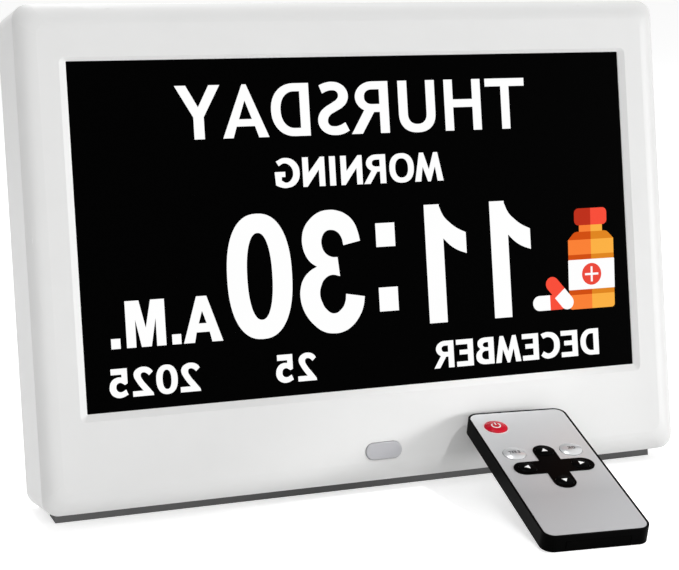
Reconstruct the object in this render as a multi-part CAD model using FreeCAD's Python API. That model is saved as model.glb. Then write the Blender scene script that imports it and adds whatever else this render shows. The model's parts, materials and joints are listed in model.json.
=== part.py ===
import FreeCAD
import Part
import math
import os

# Day clock with a 10.1 inch screen, and its card remote leaning on the front. Millimetres and degrees.
#
# The clock is drawn upright: x to the right, y back from the front face, z up from the bottom edge.
# clock_placement() then leans it back and puts the origin under the middle of the foot strip, on the table.
# The remote is drawn lying flat: x across, y along it from the lower end, z up out of its face.

V = FreeCAD.Vector
X_AXIS = V(1, 0, 0)
Y_AXIS = V(0, 1, 0)
Z_AXIS = V(0, 0, 1)

# ---------------------------------------------------------------- driving dimensions: screen
screen_w = 222.7          # visible picture
screen_h = 125.3
lip_side = 2.68           # width of the bevelled lip at the sides
lip_top = 1.3
lip_bottom = 2.65
lip_d = 1.1               # depth of the bevel
lip_outer_r = 2.0
lip_inner_r = 0.3
glass_y = 1.5             # depth of the glass behind the front face
glass_t = 1.6
module_side = 6.15        # screen module beyond the picture
module_above = 8.85       # and above and below it
module_r = 1.0
module_gap = 0.3          # between the module and its pocket
tray_t = 0.5              # sheet of the module's metal tray
backlight_t = 2.7
backlight_gap = 0.1

# ---------------------------------------------------------------- driving dimensions: case
border_side = 17.6        # from the picture to the case's sides
border_top = 20.6
border_bottom = 35.3
case_d = 34.0             # depth, front face to rear face
case_corner_r = 6.0       # corners of the case, seen from the front
wall = 2.2                # side walls
front_t = 2.6             # front plate
roll_w = 7.5              # width of the rounding along the front edges
roll_d = 3.5              # depth of that rounding
roll_corner_r = 4.0       # corner radius where the rounding runs out on the face
roll_steps = 6            # sections through the rounding
rear_chamfer = 0.8        # outer edge at the rear
lean = 9.06               # angle that the clock leans back
slack = 1.0               # how far cutting solids run past the faces they cut
near = 0.01               # places closer than this count as one

# brackets that hold the module
bracket_dz = 50.0         # up and down from the screen's centre
bracket_w = 12.0
bracket_t = 0.8
bracket_lap = 6.0         # over the module's edge
bracket_post_r = 3.2
bracket_post_gap = 0.5    # between post and module
small_screw_r = 1.0
small_screw_head_r = 2.0
small_screw_head_t = 1.3
small_screw_len = 6.0
screw_gap = 0.05          # between a screw and its pilot hole
hole_gap = 0.25           # between a screw and the hole it passes through
pilot_past = 0.5          # pilot hole beyond the screw's tip

# rear cover
cover_t = 2.0
cover_gap = 0.25          # between the cover's edge and the side walls
cover_corner_r = 3.5
sleeve_t = 2.0            # sleeves round the case screws, behind the cover
boss_r = 4.0
boss_inset = 3.8          # from the inner wall to a boss's centre
boss_from_side = 34.0     # outer bosses along the top and bottom, from the case's sides
case_screw_r = 1.3
case_screw_head_r = 2.5
case_screw_head_t = 1.8
case_screw_len = 10.0
counterbore_gap = 0.3
cross_slot = 0.7          # width of the cross in a screw's head
cross_depth = 0.8
cross_reach = 0.6         # half length of the cross, as a share of the head's radius

# wall keyholes
keyhole_from_side = 54.0
keyhole_from_top = 32.6
keyhole_r = 4.0           # entry hole for the wall screw's head
keyhole_slot = 4.4        # slot that takes its shank
keyhole_rise = 9.0        # from the entry hole's centre to the slot's end
keyhole_room = 6.0        # space behind the plate for the head
pocket_wall = 1.5
pocket_margin = 3.0       # round the keyhole

# vents and speaker grille
vent_count = 9
vent_pitch = 5.5
vent_w = 2.0
vent_h = 16.0
grille_r = 15.0
grille_pitch = 3.6
grille_slot = 1.6
grille_count = 7

# ---------------------------------------------------------------- driving dimensions: oval window
oval_w = 14.6
oval_h = 6.4
oval_x = 0.8
oval_below = 23.85        # its centre, below the picture
oval_proud = 0.8
oval_edge_r = 0.5
oval_gap = 0.15
oval_flange = 1.5
oval_flange_t = 1.0
receiver_w = 7.0
receiver_h = 6.5
receiver_t = 4.2
receiver_dome_r = 2.2
receiver_dome_t = 0.8
receiver_gap = 0.4        # from the window's flange to the receiver's dome
ir_post_x = 12.0
ir_post_r = 2.2
ir_board_w = 31.0
ir_board_h = 8.6
ir_board_t = 1.2

# ---------------------------------------------------------------- driving dimensions: electronics
board_gap = 7.4           # between the main board and the rear cover
board_t = 1.6
board_r = 1.5             # corners of the circuit boards
board_w = 120.0
board_h = 66.0
board_above_leg = 10.0    # from the leg's recess up to the board
post_r = 3.0
post_inset = 6.0
chip_t = 1.2
chips = [(-44.0, 12.0, 14.0, 14.0), (-22.0, 16.0, 12.0, 8.0), (-24.0, -6.0, 10.0, 6.0),
         (44.0, 8.0, 10.0, 10.0), (46.0, -14.0, 8.0, 12.0)]
plug_t = 3.2              # height of the white cable sockets
plug_d = 4.5
plug_margin = 2.0         # beside the ribbon that it takes
coin_r = 10.0
coin_t = 3.2
coin_gap = 0.15
coin_x = -28.0
holder_wall = 1.4
holder_floor = 1.0
jack_x = 40.0
jack_up = 12.0            # above the board's lower edge
jack_w = 9.0
jack_gap = 0.3
jack_corner_r = 0.6
jack_recess = 0.6         # behind the cover's outer face
jack_bore_r = 2.75
jack_bore_d = 8.0
jack_pin_r = 1.0
jack_pin_short = 0.8
ribbon_t = 0.3
lcd_ribbon_w = 20.0
lcd_ribbon_x = 20.0
ir_ribbon_w = 7.0
key_ribbon_w = 10.0
ribbon_lap = 8.0          # length that lies flat at each end
ribbon_way = 0.7          # how far back the receiver's ribbon runs, of the way to the main board

# rear keys, from the lowest to the highest
rear_keys = ["key_exit", "key_down", "key_ok", "key_up", "key_menu", "key_power"]
key_from_side = 25.0
key_pitch = 15.0
key_r = 4.0
key_gap = 0.2
key_proud = 0.9
key_flange_r = 5.2
key_flange_t = 1.2
key_flange_gap = 0.3      # under the cover
key_travel = 0.4
switch_spare = 0.1        # left between key and switch when the key is down
switch_w = 6.0
switch_body_t = 3.4
switch_stem_t = 0.9
switch_stem_r = 1.7
key_board_w = 14.0
key_board_margin = 4.0
key_post_r = 2.5
key_post_past = 9.5       # from the last key's centre to the board's post

# speaker
speaker_from_side = 41.0
speaker_z = 52.0
speaker_r = 18.0
speaker_flange_t = 1.2
speaker_cone_r = 15.0
speaker_cone_d = 4.8
speaker_magnet_r = 9.0
speaker_magnet_d = 3.0
gasket_t = 0.6
gasket_w = 2.5
speaker_gap = 0.3
speaker_ring_t = 1.5
clamp_t = 1.0
clamp_ear = 5.0           # radius of the clamp's two ears
clamp_ear_x = 24.0

# ---------------------------------------------------------------- driving dimensions: stand
foot_strip_inset = 6.0    # from the case's sides
foot_strip_rear = 11.5    # from the rear face
foot_strip_w = 10.0
foot_strip_t = 2.3        # at its rear edge, the thin end of the wedge
leg_w = 90.0
leg_len = 62.0            # hinge to tip
leg_t = 5.0
leg_tip_r = 8.0
leg_gap = 0.5             # between the leg and its recess
leg_notch_r = 9.0         # finger notch in the tip
leg_sink = 2.0            # folded leg's outer face below the rear face
hinge_z = 11.5
barrel_r = 3.5
hinge_pin_r = 1.5
hinge_pin_gap = 0.05
ear_t = 4.4               # how far the pin reaches into each side
ear_r = 3.8
recess_wall = 1.8
stop_gap = 0.1
stop_w = 60.0
pad_len = 10.0
pad_from_tip = 3.0
pad_min_t = 1.0
pad_side_inset = 5.0

# ---------------------------------------------------------------- driving dimensions: remote
remote_w = 40.0
remote_len = 86.0
remote_r = 4.5
remote_floor = 0.9
remote_wall = 1.8
remote_rim = 0.8
tray_h = 2.9              # battery tray
tray_w = 24.0
tray_len = 26.0
tray_r = 0.3              # its corners
tray_gap = 0.1
tray_floor = 0.4
remote_coin_r = 10.0
remote_coin_t = 2.5
remote_coin_y = 13.6
contact_t = 0.25
contact_w = 8.0
contact_r = 1.0
contact_gap = 0.05        # over the battery tray
remote_board_t = 0.7
remote_board_gap = 0.2
face_t = 0.8
face_gap = 0.1
cross_t = 0.3
cross_x = 0.4
cross_from_top = 41.8     # from the remote's upper end
arm_w = 8.4
arm_reach = 15.6
arm_reach_along = 14.8
arm_end = 0.02            # straight stretch left in the round end of an arm
arrow_at = 10.4
arrow_w = 6.4
arrow_r = 2.9
arrow_proud = 0.8
arrow_dome_r = 14.0
cap_gap = 0.15
cap_flange = 0.6
cap_flange_t = 0.25
cap_under = 0.05          # between a key's flange and the face
cap_travel = 0.25
cap_spare = 0.05          # left between a key and the board when the key is down
power_r = 4.4
power_x = -11.4
power_from_top = 11.2
dome_r = 4.3
dome_x = 11.2
dome_from_top = 31.1
cap_edge = 0.25           # straight side of a round key above the face
cap_dome = 0.65
led_r = 1.5
led_len = 8.4
led_proud = 0.4
led_gap = 0.1
rail_t = 1.2
remote_post_r = 1.5
remote_post_x = 15.0
remote_post_y = 8.0       # from each end
remote_pitch = 15.0       # angle that the remote is raised
remote_yaw = -6.0         # turned counter-clockwise, seen from above
remote_x = 45.5           # middle of its lower edge
remote_clear = 0.3        # between its upper end and the clock's face

# ---------------------------------------------------------------- places worked out from the sizes
LEAN = math.radians(lean)
case_w = screen_w + 2 * border_side
case_h = border_bottom + screen_h + border_top
screen_z = border_bottom + screen_h / 2
module_w = screen_w + 2 * module_side
module_h = screen_h + 2 * module_above
boss_x = case_w / 2 - boss_from_side
keyhole_x = case_w / 2 - keyhole_from_side
keyhole_z = case_h - keyhole_from_top
key_x = key_from_side - case_w / 2
speaker_x = case_w / 2 - speaker_from_side
oval_z = border_bottom - oval_below
rear_in = case_d - cover_t
seat_y = rear_in - sleeve_t
glass_back = glass_y + glass_t
module_back = glass_back + backlight_t + tray_t
board_y1 = rear_in - board_gap
board_y0 = board_y1 - board_t
hinge_y = case_d - leg_sink - leg_t / 2
strip_y1 = case_d - foot_strip_rear
strip_y0 = strip_y1 - foot_strip_w
strip_drop = foot_strip_t + foot_strip_w * math.tan(LEAN)
recess_z0 = hinge_z - barrel_r - leg_gap
recess_z1 = hinge_z + leg_len + leg_gap
recess_y = hinge_y - barrel_r - leg_gap
recess_x = leg_w / 2 + leg_gap
board_z0 = recess_z1 + recess_wall + board_above_leg
board_z = board_z0 + board_h / 2
ir_board_y = front_t + oval_flange_t + receiver_gap + receiver_dome_t + receiver_t
key_in = rear_in - key_flange_gap - key_flange_t
key_board_y1 = key_in - key_travel - switch_spare - switch_stem_t - switch_body_t
key_board_y0 = key_board_y1 - board_t
key_post_dz = key_pitch * (len(rear_keys) - 1) / 2 + key_post_past
gasket_y = rear_in - gasket_t
flange_y = gasket_y - speaker_flange_t

tray_z = remote_floor + tray_gap
tray_top = tray_z + tray_h
remote_board_z = tray_top + contact_gap + contact_t
remote_board_top = remote_board_z + remote_board_t
cap_z = remote_board_top + cap_spare + cap_travel
face_z = cap_z + cap_flange_t + cap_under
face_top = face_z + face_t
cross_y = remote_len - cross_from_top
power_y = remote_len - power_from_top
dome_y = remote_len - dome_from_top


# ---------------------------------------------------------------- drawing helpers
def at(u, v, level, flat):
    """A point of an outline: in a plane parallel to the front, or lying flat."""
    return V(u, v, level) if flat else V(u, level, v)


def rounded_rect(cu, cv, w, h, r, level, flat=False):
    """Closed wire of a rectangle with rounded corners; with r of half its height it is a stadium."""
    u0, u1 = cu - w / 2, cu + w / 2
    v0, v1 = cv - h / 2, cv + h / 2
    k = r * (1 - math.sqrt(0.5))
    corners = [
        ((u0 + r, v0), (u1 - r, v0), (u1 - k, v0 + k), (u1, v0 + r)),
        ((u1, v0 + r), (u1, v1 - r), (u1 - k, v1 - k), (u1 - r, v1)),
        ((u1 - r, v1), (u0 + r, v1), (u0 + k, v1 - k), (u0, v1 - r)),
        ((u0, v1 - r), (u0, v0 + r), (u0 + k, v0 + k), (u0 + r, v0)),
    ]
    edges = []
    for start, bend, middle, end in corners:
        a, b, c, d = [at(u, v, level, flat) for u, v in (start, bend, middle, end)]
        if a.distanceToPoint(b) > near / 1000:
            edges.append(Part.LineSegment(a, b).toShape())
        edges.append(Part.Arc(b, c, d).toShape())
    return Part.Wire(edges)


def slab(cu, cv, w, h, r, low, high, flat=False):
    """Plate with rounded corners between two levels."""
    face = Part.Face(rounded_rect(cu, cv, w, h, r, low, flat))
    return face.extrude(at(0, 0, high - low, flat))


def box(x0, x1, y0, y1, z0, z1):
    return Part.makeBox(x1 - x0, y1 - y0, z1 - z0, V(x0, y0, z0))


def rod(r, x, z, y0, y1):
    """Cylinder that runs back from y0 to y1."""
    return Part.makeCylinder(r, y1 - y0, V(x, y0, z), Y_AXIS)


def pillar(r, x, y, z0, z1):
    """Cylinder that stands up from z0 to z1."""
    return Part.makeCylinder(r, z1 - z0, V(x, y, z0), Z_AXIS)


def bar(r, x0, x1, y, z):
    """Cylinder across the width."""
    return Part.makeCylinder(r, x1 - x0, V(x0, y, z), X_AXIS)


def prism(points, x0, x1):
    """Side outline of (y, z) points, drawn across from x0 to x1."""
    corners = [V(x0, y, z) for y, z in points]
    return Part.Face(Part.makePolygon(corners + corners[:1])).extrude(V(x1 - x0, 0, 0))


def fuse(first, *others):
    return first.multiFuse(list(others)).removeSplitter() if others else first


def cut(body, *tools):
    for tool in tools:
        body = body.cut(tool)
    return body.removeSplitter()


def group(solids):
    return Part.makeCompound(solids)


def ruled(*wires):
    """Solid with straight walls between outlines."""
    return Part.makeLoft(list(wires), True, True)


def small_hole(x, z, y0, y1):
    """Pilot hole for a small screw."""
    return rod(small_screw_r + screw_gap, x, z, y0, y1)


def ribbon(points, x0, x1):
    """Flat cable that follows (y, z) points, its thickness to the rear."""
    back = [(y + ribbon_t, z) for y, z in reversed(points)]
    return prism(points + back, x0, x1)


def screw(r, length, head_r, head_t, x, z, y):
    """Pan head screw seen from the rear: the head's underside is at y and the shank runs forward."""
    head = rod(head_r, x, z, y, y + head_t)
    shank = rod(r, x, z, y - length, y)
    reach = head_r * cross_reach
    top = y + head_t
    half = cross_slot / 2
    slot_a = box(x - reach, x + reach, top - cross_depth, top + slack, z - half, z + half)
    slot_b = box(x - half, x + half, top - cross_depth, top + slack, z - reach, z + reach)
    return cut(fuse(head, shank), slot_a, slot_b)


def front_screw(x, z, y):
    """Small screw put in from the screen's side: the head's back is at y and the shank runs to the rear."""
    head = rod(small_screw_head_r, x, z, y - small_screw_head_t, y)
    shank = rod(small_screw_r, x, z, y, y + small_screw_len)
    reach = small_screw_head_r * cross_reach
    top = y - small_screw_head_t
    slot = box(x - reach, x + reach, top - slack, top + cross_depth, z - cross_slot / 2, z + cross_slot / 2)
    return cut(fuse(head, shank), slot)


# ---------------------------------------------------------------- shared places
def case_wire(y, inset, r):
    """Outline of the case at depth y, drawn in by inset."""
    return rounded_rect(0, case_h / 2, case_w - 2 * inset, case_h - 2 * inset, r, y)


def screw_places():
    """Centres of the case screws: three along the top, two along the bottom and one at each side."""
    top = case_h - wall - boss_inset
    low = wall + boss_inset
    side = case_w / 2 - wall - boss_inset
    return [(-boss_x, top), (0.0, top), (boss_x, top), (-boss_x, low), (boss_x, low),
            (-side, screen_z), (side, screen_z)]


def bracket_places():
    x = module_w / 2 + module_gap + bracket_post_gap + bracket_post_r
    return [(sx * x, screen_z + sz * bracket_dz) for sx in (-1, 1) for sz in (-1, 1)]


def board_posts():
    dx = board_w / 2 - post_inset
    dz = board_h / 2 - post_inset
    return [(sx * dx, board_z + sz * dz) for sx in (-1, 1) for sz in (-1, 1)]


def key_posts():
    return [(key_x, screen_z - key_post_dz), (key_x, screen_z + key_post_dz)]


def key_places():
    first = screen_z - key_pitch * (len(rear_keys) - 1) / 2
    return [(name, first + i * key_pitch) for i, name in enumerate(rear_keys)]


def ir_posts():
    return [(oval_x - ir_post_x, oval_z), (oval_x + ir_post_x, oval_z)]


def clamp_posts():
    return [(speaker_x - clamp_ear_x, speaker_z), (speaker_x + clamp_ear_x, speaker_z)]


def hinge_height():
    """Height of the leg's hinge above the table, with the clock leaning on its foot strip."""
    return (hinge_z + foot_strip_t) * math.cos(LEAN) + (strip_y1 - hinge_y) * math.sin(LEAN)


def leg_slope():
    """Angle below level of the opened leg, so that its pads lie on the table."""
    along = leg_len - pad_from_tip
    out = leg_t / 2 + pad_min_t
    reach = math.hypot(along, out)
    return math.asin(hinge_height() / reach) - math.atan2(out, along)


def leg_swing():
    """Angle in degrees between the folded and the opened leg."""
    return 90.0 + math.degrees(leg_slope()) - lean


# ---------------------------------------------------------------- case
def lip_wire(y):
    """Opening round the screen at depth y: wide at the face and narrow at the glass."""
    k = 1 - y / lip_d
    z0 = screen_z - screen_h / 2 - lip_bottom * k
    z1 = screen_z + screen_h / 2 + lip_top * k
    r = lip_inner_r + (lip_outer_r - lip_inner_r) * k
    return rounded_rect(0, (z0 + z1) / 2, screen_w + 2 * lip_side * k, z1 - z0, r, y)


def case_body():
    """Outer form of the case: a rounded front edge and straight walls that end in a small chamfer."""
    radius = (roll_w ** 2 + roll_d ** 2) / (2 * roll_d)
    end = math.asin(roll_w / radius)
    wires = []
    for i in range(roll_steps + 1):
        a = end * i / roll_steps
        inset = roll_w - radius * math.sin(a)
        r = case_corner_r - (case_corner_r - roll_corner_r) * inset / roll_w
        wires.append(case_wire(radius * (1 - math.cos(a)), inset, r))
    nose = Part.makeLoft(wires, True, False)
    rim = case_wire(case_d - rear_chamfer, 0, case_corner_r)
    walls = ruled(case_wire(roll_d, 0, case_corner_r), rim)
    edge = ruled(rim, case_wire(case_d, rear_chamfer, case_corner_r - rear_chamfer))
    return fuse(nose, walls, edge)


def front_frame():
    inner_r = case_corner_r - wall
    cavity = ruled(case_wire(front_t, wall, inner_r), case_wire(case_d + slack, wall, inner_r))
    opening = ruled(lip_wire(-slack / 2), lip_wire(lip_d))
    throat = slab(0, screen_z, screen_w, screen_h, lip_inner_r, lip_d - near, front_t + slack)
    pocket = slab(0, screen_z, module_w + 2 * module_gap, module_h + 2 * module_gap, module_r,
                  glass_y, front_t + slack)
    window = slab(oval_x, oval_z, oval_w + 2 * oval_gap, oval_h + 2 * oval_gap, oval_h / 2 + oval_gap,
                  -slack, front_t + slack)
    body = cut(case_body(), cavity, opening, throat, pocket, window)
    root = front_t - slack
    posts = [rod(boss_r, x, z, root, seat_y) for x, z in screw_places()]
    posts += [rod(bracket_post_r, x, z, root, module_back) for x, z in bracket_places()]
    posts += [rod(ir_post_r, x, z, root, ir_board_y) for x, z in ir_posts()]
    inside = ruled(case_wire(root, wall / 2, inner_r), case_wire(case_d, wall / 2, inner_r))
    body = fuse(body, *[post.common(inside) for post in posts])
    pilots = [rod(case_screw_r + screw_gap, x, z, rear_in - case_screw_len - pilot_past, seat_y + slack)
              for x, z in screw_places()]
    pilots += [small_hole(x, z, module_back + bracket_t - small_screw_len - pilot_past, module_back + slack)
               for x, z in bracket_places()]
    pilots += [small_hole(x, z, ir_board_y + ir_board_t - small_screw_len - pilot_past, ir_board_y + slack)
               for x, z in ir_posts()]
    return cut(body, *pilots)


def keyhole(x, grow, y0, y1):
    """Entry hole and slot of a wall keyhole, widened by grow."""
    entry = rod(keyhole_r + grow, x, keyhole_z, y0, y1)
    half = keyhole_slot / 2 + grow
    end = rod(half, x, keyhole_z + keyhole_rise, y0, y1)
    return fuse(entry, end, box(x - half, x + half, y0, y1, keyhole_z, keyhole_z + keyhole_rise))


def keyhole_pocket(x, grow):
    """Room behind a keyhole for the wall screw's head; grow makes its outer form."""
    half = keyhole_r + pocket_margin + grow
    z0 = keyhole_z - keyhole_r - pocket_margin - grow
    z1 = keyhole_z + keyhole_rise + keyhole_r + pocket_margin + grow
    return box(x - half, x + half, rear_in - keyhole_room - grow, rear_in + slack / 2, z0, z1)


def grille_slots():
    slots = []
    for i in range(grille_count):
        dx = (i - (grille_count - 1) / 2) * grille_pitch
        half = math.sqrt(max(grille_r ** 2 - dx ** 2, grille_slot ** 2))
        slots.append(slab(speaker_x + dx, speaker_z, grille_slot, 2 * half, grille_slot / 2,
                          rear_in - slack, case_d + slack))
    return slots


def vent_slots():
    first = -(vent_count - 1) / 2 * vent_pitch
    places = [first + i * vent_pitch for i in range(vent_count)]
    return [slab(x, board_z, vent_w, vent_h, vent_w / 2, rear_in - slack, case_d + slack) for x in places]


def leg_recess():
    """Box that the folded leg lies in, its walls and the ears for the hinge pin."""
    half = recess_x + recess_wall
    shell = box(-half, half, recess_y - recess_wall, case_d - cover_t / 2,
                recess_z0 - recess_wall, recess_z1 + recess_wall)
    ears = []
    for side in (-1, 1):
        x0, x1 = sorted((side * recess_x, side * (recess_x + ear_t)))
        ears.append(box(x0, x1, hinge_y - ear_r, rear_in + slack / 2, hinge_z - ear_r, hinge_z + ear_r))
    return fuse(shell, *ears)


def rear_cover():
    inset = wall + cover_gap
    outline = case_wire(case_d, inset, cover_corner_r)
    body = ruled(case_wire(rear_in, inset, cover_corner_r), outline)
    overlap = rear_in + slack / 2
    parts = [leg_recess()]
    parts += [rod(boss_r, x, z, seat_y, overlap) for x, z in screw_places()]
    parts += [rod(post_r, x, z, board_y1, overlap) for x, z in board_posts()]
    parts += [rod(key_post_r, x, z, key_board_y1, overlap) for x, z in key_posts()]
    parts += [rod(key_post_r, x, z, flange_y, overlap) for x, z in clamp_posts()]
    parts += [keyhole_pocket(sx * keyhole_x, pocket_wall) for sx in (-1, 1)]
    ring = cut(rod(speaker_r + speaker_gap + speaker_ring_t, speaker_x, speaker_z, flange_y, overlap),
               rod(speaker_r + speaker_gap, speaker_x, speaker_z, flange_y - slack, rear_in))
    inner = ruled(case_wire(front_t, inset, cover_corner_r), outline)
    body = fuse(body, ring, *[part.common(inner) for part in parts])

    holes = [box(-recess_x, recess_x, recess_y, case_d + slack, recess_z0, recess_z1)]
    holes += [bar(hinge_pin_r + hinge_pin_gap, -recess_x - ear_t, recess_x + ear_t, hinge_y, hinge_z)]
    for sx in (-1, 1):
        holes += [keyhole_pocket(sx * keyhole_x, 0).common(box(-case_w, case_w, 0, rear_in, 0, case_h)),
                  keyhole(sx * keyhole_x, 0, rear_in - slack, case_d + slack)]
    for x, z in screw_places():
        holes += [rod(case_screw_r + hole_gap, x, z, seat_y - slack, case_d + slack),
                  rod(case_screw_head_r + counterbore_gap, x, z, rear_in, case_d + slack)]
    tip = small_screw_len + pilot_past
    holes += [small_hole(x, z, board_y1 - slack, board_y0 + tip) for x, z in board_posts()]
    holes += [small_hole(x, z, key_board_y1 - slack, key_board_y0 + tip) for x, z in key_posts()]
    clamp_tip = flange_y - clamp_t + small_screw_len
    holes += [small_hole(x, z, flange_y - slack, clamp_tip) for x, z in clamp_posts()]
    holes += [rod(key_r + key_gap, key_x, z, rear_in - slack, case_d + slack) for _, z in key_places()]
    jack_hole = jack_w + 2 * jack_gap
    holes.append(slab(jack_x, board_z0 + jack_up, jack_hole, jack_hole, jack_corner_r + jack_gap,
                      rear_in - slack, case_d + slack))
    holes += grille_slots() + vent_slots()
    body = cut(body, *holes)
    stop_top = hinge_z - leg_t / 2 - stop_gap
    stop = box(-stop_w / 2, stop_w / 2, rear_in, case_d, recess_z0 - slack / 2, stop_top)
    return fuse(body, stop)


def case_screws():
    return group([screw(case_screw_r, case_screw_len, case_screw_head_r, case_screw_head_t, x, z, rear_in)
                  for x, z in screw_places()])


def foot_strip():
    """Rubber wedge along the underside; its sole is flat on the table once the clock leans."""
    half = case_w / 2 - foot_strip_inset
    outline = [(strip_y0, 0), (strip_y1, 0), (strip_y1, -foot_strip_t), (strip_y0, -strip_drop)]
    return prism(outline, -half, half)


# ---------------------------------------------------------------- screen module
def lcd_glass():
    return slab(0, screen_z, module_w, module_h, module_r, glass_y, glass_back)


def lcd_backlight():
    inset = tray_t + backlight_gap
    return slab(0, screen_z, module_w - 2 * inset, module_h - 2 * inset, module_r,
                glass_back, glass_back + backlight_t)


def lcd_metal_frame():
    outer = slab(0, screen_z, module_w, module_h, module_r, glass_back, module_back)
    inner = slab(0, screen_z, module_w - 2 * tray_t, module_h - 2 * tray_t, module_r,
                 glass_back - slack, glass_back + backlight_t)
    return cut(outer, inner)


def lcd_brackets():
    plates = []
    for x, z in bracket_places():
        inner = module_w / 2 - bracket_lap
        outer = abs(x) + bracket_post_r
        x0, x1 = sorted((math.copysign(inner, x), math.copysign(outer, x)))
        plate = box(x0, x1, module_back, module_back + bracket_t, z - bracket_w / 2, z + bracket_w / 2)
        plates.append(cut(plate, rod(small_screw_r + hole_gap, x, z, module_back - slack,
                                     module_back + bracket_t + slack)))
    return group(plates)


def bracket_screws():
    return group([screw(small_screw_r, small_screw_len, small_screw_head_r, small_screw_head_t, x, z,
                        module_back + bracket_t) for x, z in bracket_places()])


# ---------------------------------------------------------------- infrared receiver
def ir_window():
    face = slab(oval_x, oval_z, oval_w, oval_h, oval_h / 2, -oval_proud, front_t + oval_flange_t / 2)
    front_edges = [edge for edge in face.Edges if edge.BoundBox.YMax < -oval_proud + near]
    face = face.makeFillet(oval_edge_r, front_edges)
    around = 2 * oval_flange
    flange = slab(oval_x, oval_z, oval_w + around, oval_h + around, (oval_h + around) / 2,
                  front_t, front_t + oval_flange_t)
    return fuse(face, flange)


def ir_receiver():
    y0 = ir_board_y - receiver_t
    body = box(oval_x - receiver_w / 2, oval_x + receiver_w / 2, y0, ir_board_y,
               oval_z - receiver_h / 2, oval_z + receiver_h / 2)
    return fuse(body, rod(receiver_dome_r, oval_x, oval_z, y0 - receiver_dome_t, y0 + slack))


def ir_board():
    board = slab(oval_x, oval_z, ir_board_w, ir_board_h, board_r, ir_board_y, ir_board_y + ir_board_t)
    return cut(board, *[rod(small_screw_r + hole_gap, x, z, 0, case_d) for x, z in ir_posts()])


def ir_cable():
    """Ribbon from the receiver's board up behind the screen to the main board."""
    y0 = ir_board_y + ir_board_t
    y1 = board_y0 - ribbon_t
    middle = module_back + (y1 - module_back) * ribbon_way
    z0 = oval_z - ir_board_h / 2 + slack
    z_top = board_z0 + ribbon_lap
    points = [(y0, z0), (y0, oval_z + ir_board_h / 2), (middle, oval_z + ir_board_h / 2 + ribbon_lap),
              (middle, board_z0 - ribbon_lap), (y1, board_z0 + slack), (y1, z_top)]
    return ribbon(points, oval_x - ir_ribbon_w / 2, oval_x + ir_ribbon_w / 2)


# ---------------------------------------------------------------- boards
def main_board():
    board = slab(0, board_z, board_w, board_h, board_r, board_y0, board_y1)
    return cut(board, *[rod(small_screw_r + hole_gap, x, z, 0, case_d) for x, z in board_posts()])


def board_chips():
    return group([Part.makeBox(w, chip_t, h, V(x - w / 2, board_y0 - chip_t, board_z + dz - h / 2))
                  for x, dz, w, h in chips])


def lcd_cable_top():
    """Height where the screen's ribbon ends on the main board."""
    return board_z + board_h / 2 - plug_d - ribbon_lap


def key_cable_low():
    """Lower edge of the keys' ribbon."""
    return board_z - key_ribbon_w - key_ribbon_w / 2


def board_connectors():
    """Sockets for the screen's, the receiver's and the keys' ribbons."""
    y0 = board_y0 - plug_t
    across = [(lcd_ribbon_x, lcd_ribbon_w, lcd_cable_top()), (oval_x, ir_ribbon_w, board_z0 + ribbon_lap)]
    sockets = []
    for x, width, z in across:
        half = width / 2 + plug_margin
        sockets.append(box(x - half, x + half, y0, board_y0, z, z + plug_d))
    x0 = -board_w / 2 + ribbon_lap
    z0 = key_cable_low()
    sockets.append(box(x0, x0 + plug_d, y0, board_y0, z0 - plug_margin, z0 + key_ribbon_w + plug_margin))
    return group(sockets)


def lcd_cable():
    """Ribbon from the back of the screen module to the main board."""
    y1 = board_y0 - ribbon_t
    z3 = lcd_cable_top()
    z2 = z3 - ribbon_lap
    z1 = z2 - 2 * ribbon_lap
    points = [(module_back, z1 - 2 * ribbon_lap), (module_back, z1), (y1, z2), (y1, z3)]
    return ribbon(points, lcd_ribbon_x - lcd_ribbon_w / 2, lcd_ribbon_x + lcd_ribbon_w / 2)


def key_cable():
    """Ribbon from the keys' board across to the main board, on their front faces."""
    xa = key_x - key_board_w / 2 + 2 * slack
    xb = key_x + key_board_w / 2
    xc = -board_w / 2
    xd = xc + ribbon_lap
    ya = key_board_y0 - ribbon_t
    yb = board_y0 - ribbon_t
    front = [(xa, ya), (xb, ya), (xc, yb), (xd, yb)]
    outline = front + [(x, y + ribbon_t) for x, y in reversed(front)]
    corners = [V(x, y, key_cable_low()) for x, y in outline]
    return Part.Face(Part.makePolygon(corners + corners[:1])).extrude(V(0, 0, key_ribbon_w))


def coin_cell_holder():
    top = board_y1 + holder_floor + coin_t
    outer = rod(coin_r + coin_gap + holder_wall, coin_x, board_z, board_y1, top)
    return cut(outer, rod(coin_r + coin_gap, coin_x, board_z, board_y1 + holder_floor, case_d))


def backup_coin_cell():
    return rod(coin_r, coin_x, board_z, board_y1 + holder_floor, board_y1 + holder_floor + coin_t)


def dc_jack():
    """Power socket on the main board, its mouth in the rear cover, with its centre pin."""
    z = board_z0 + jack_up
    mouth = case_d - jack_recess
    body = slab(jack_x, z, jack_w, jack_w, jack_corner_r, board_y1, mouth)
    body = cut(body, rod(jack_bore_r, jack_x, z, mouth - jack_bore_d, case_d + slack))
    pin = rod(jack_pin_r, jack_x, z, mouth - jack_bore_d - slack / 2, mouth - jack_pin_short)
    return fuse(body, pin)


def board_screws():
    """Screws of the main board, the keys' board, the speaker's clamp and the receiver's board."""
    screws = [front_screw(x, z, board_y0) for x, z in board_posts()]
    screws += [front_screw(x, z, key_board_y0) for x, z in key_posts()]
    screws += [front_screw(x, z, flange_y - clamp_t) for x, z in clamp_posts()]
    screws += [screw(small_screw_r, small_screw_len, small_screw_head_r, small_screw_head_t, x, z,
                     ir_board_y + ir_board_t) for x, z in ir_posts()]
    return group(screws)


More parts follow.
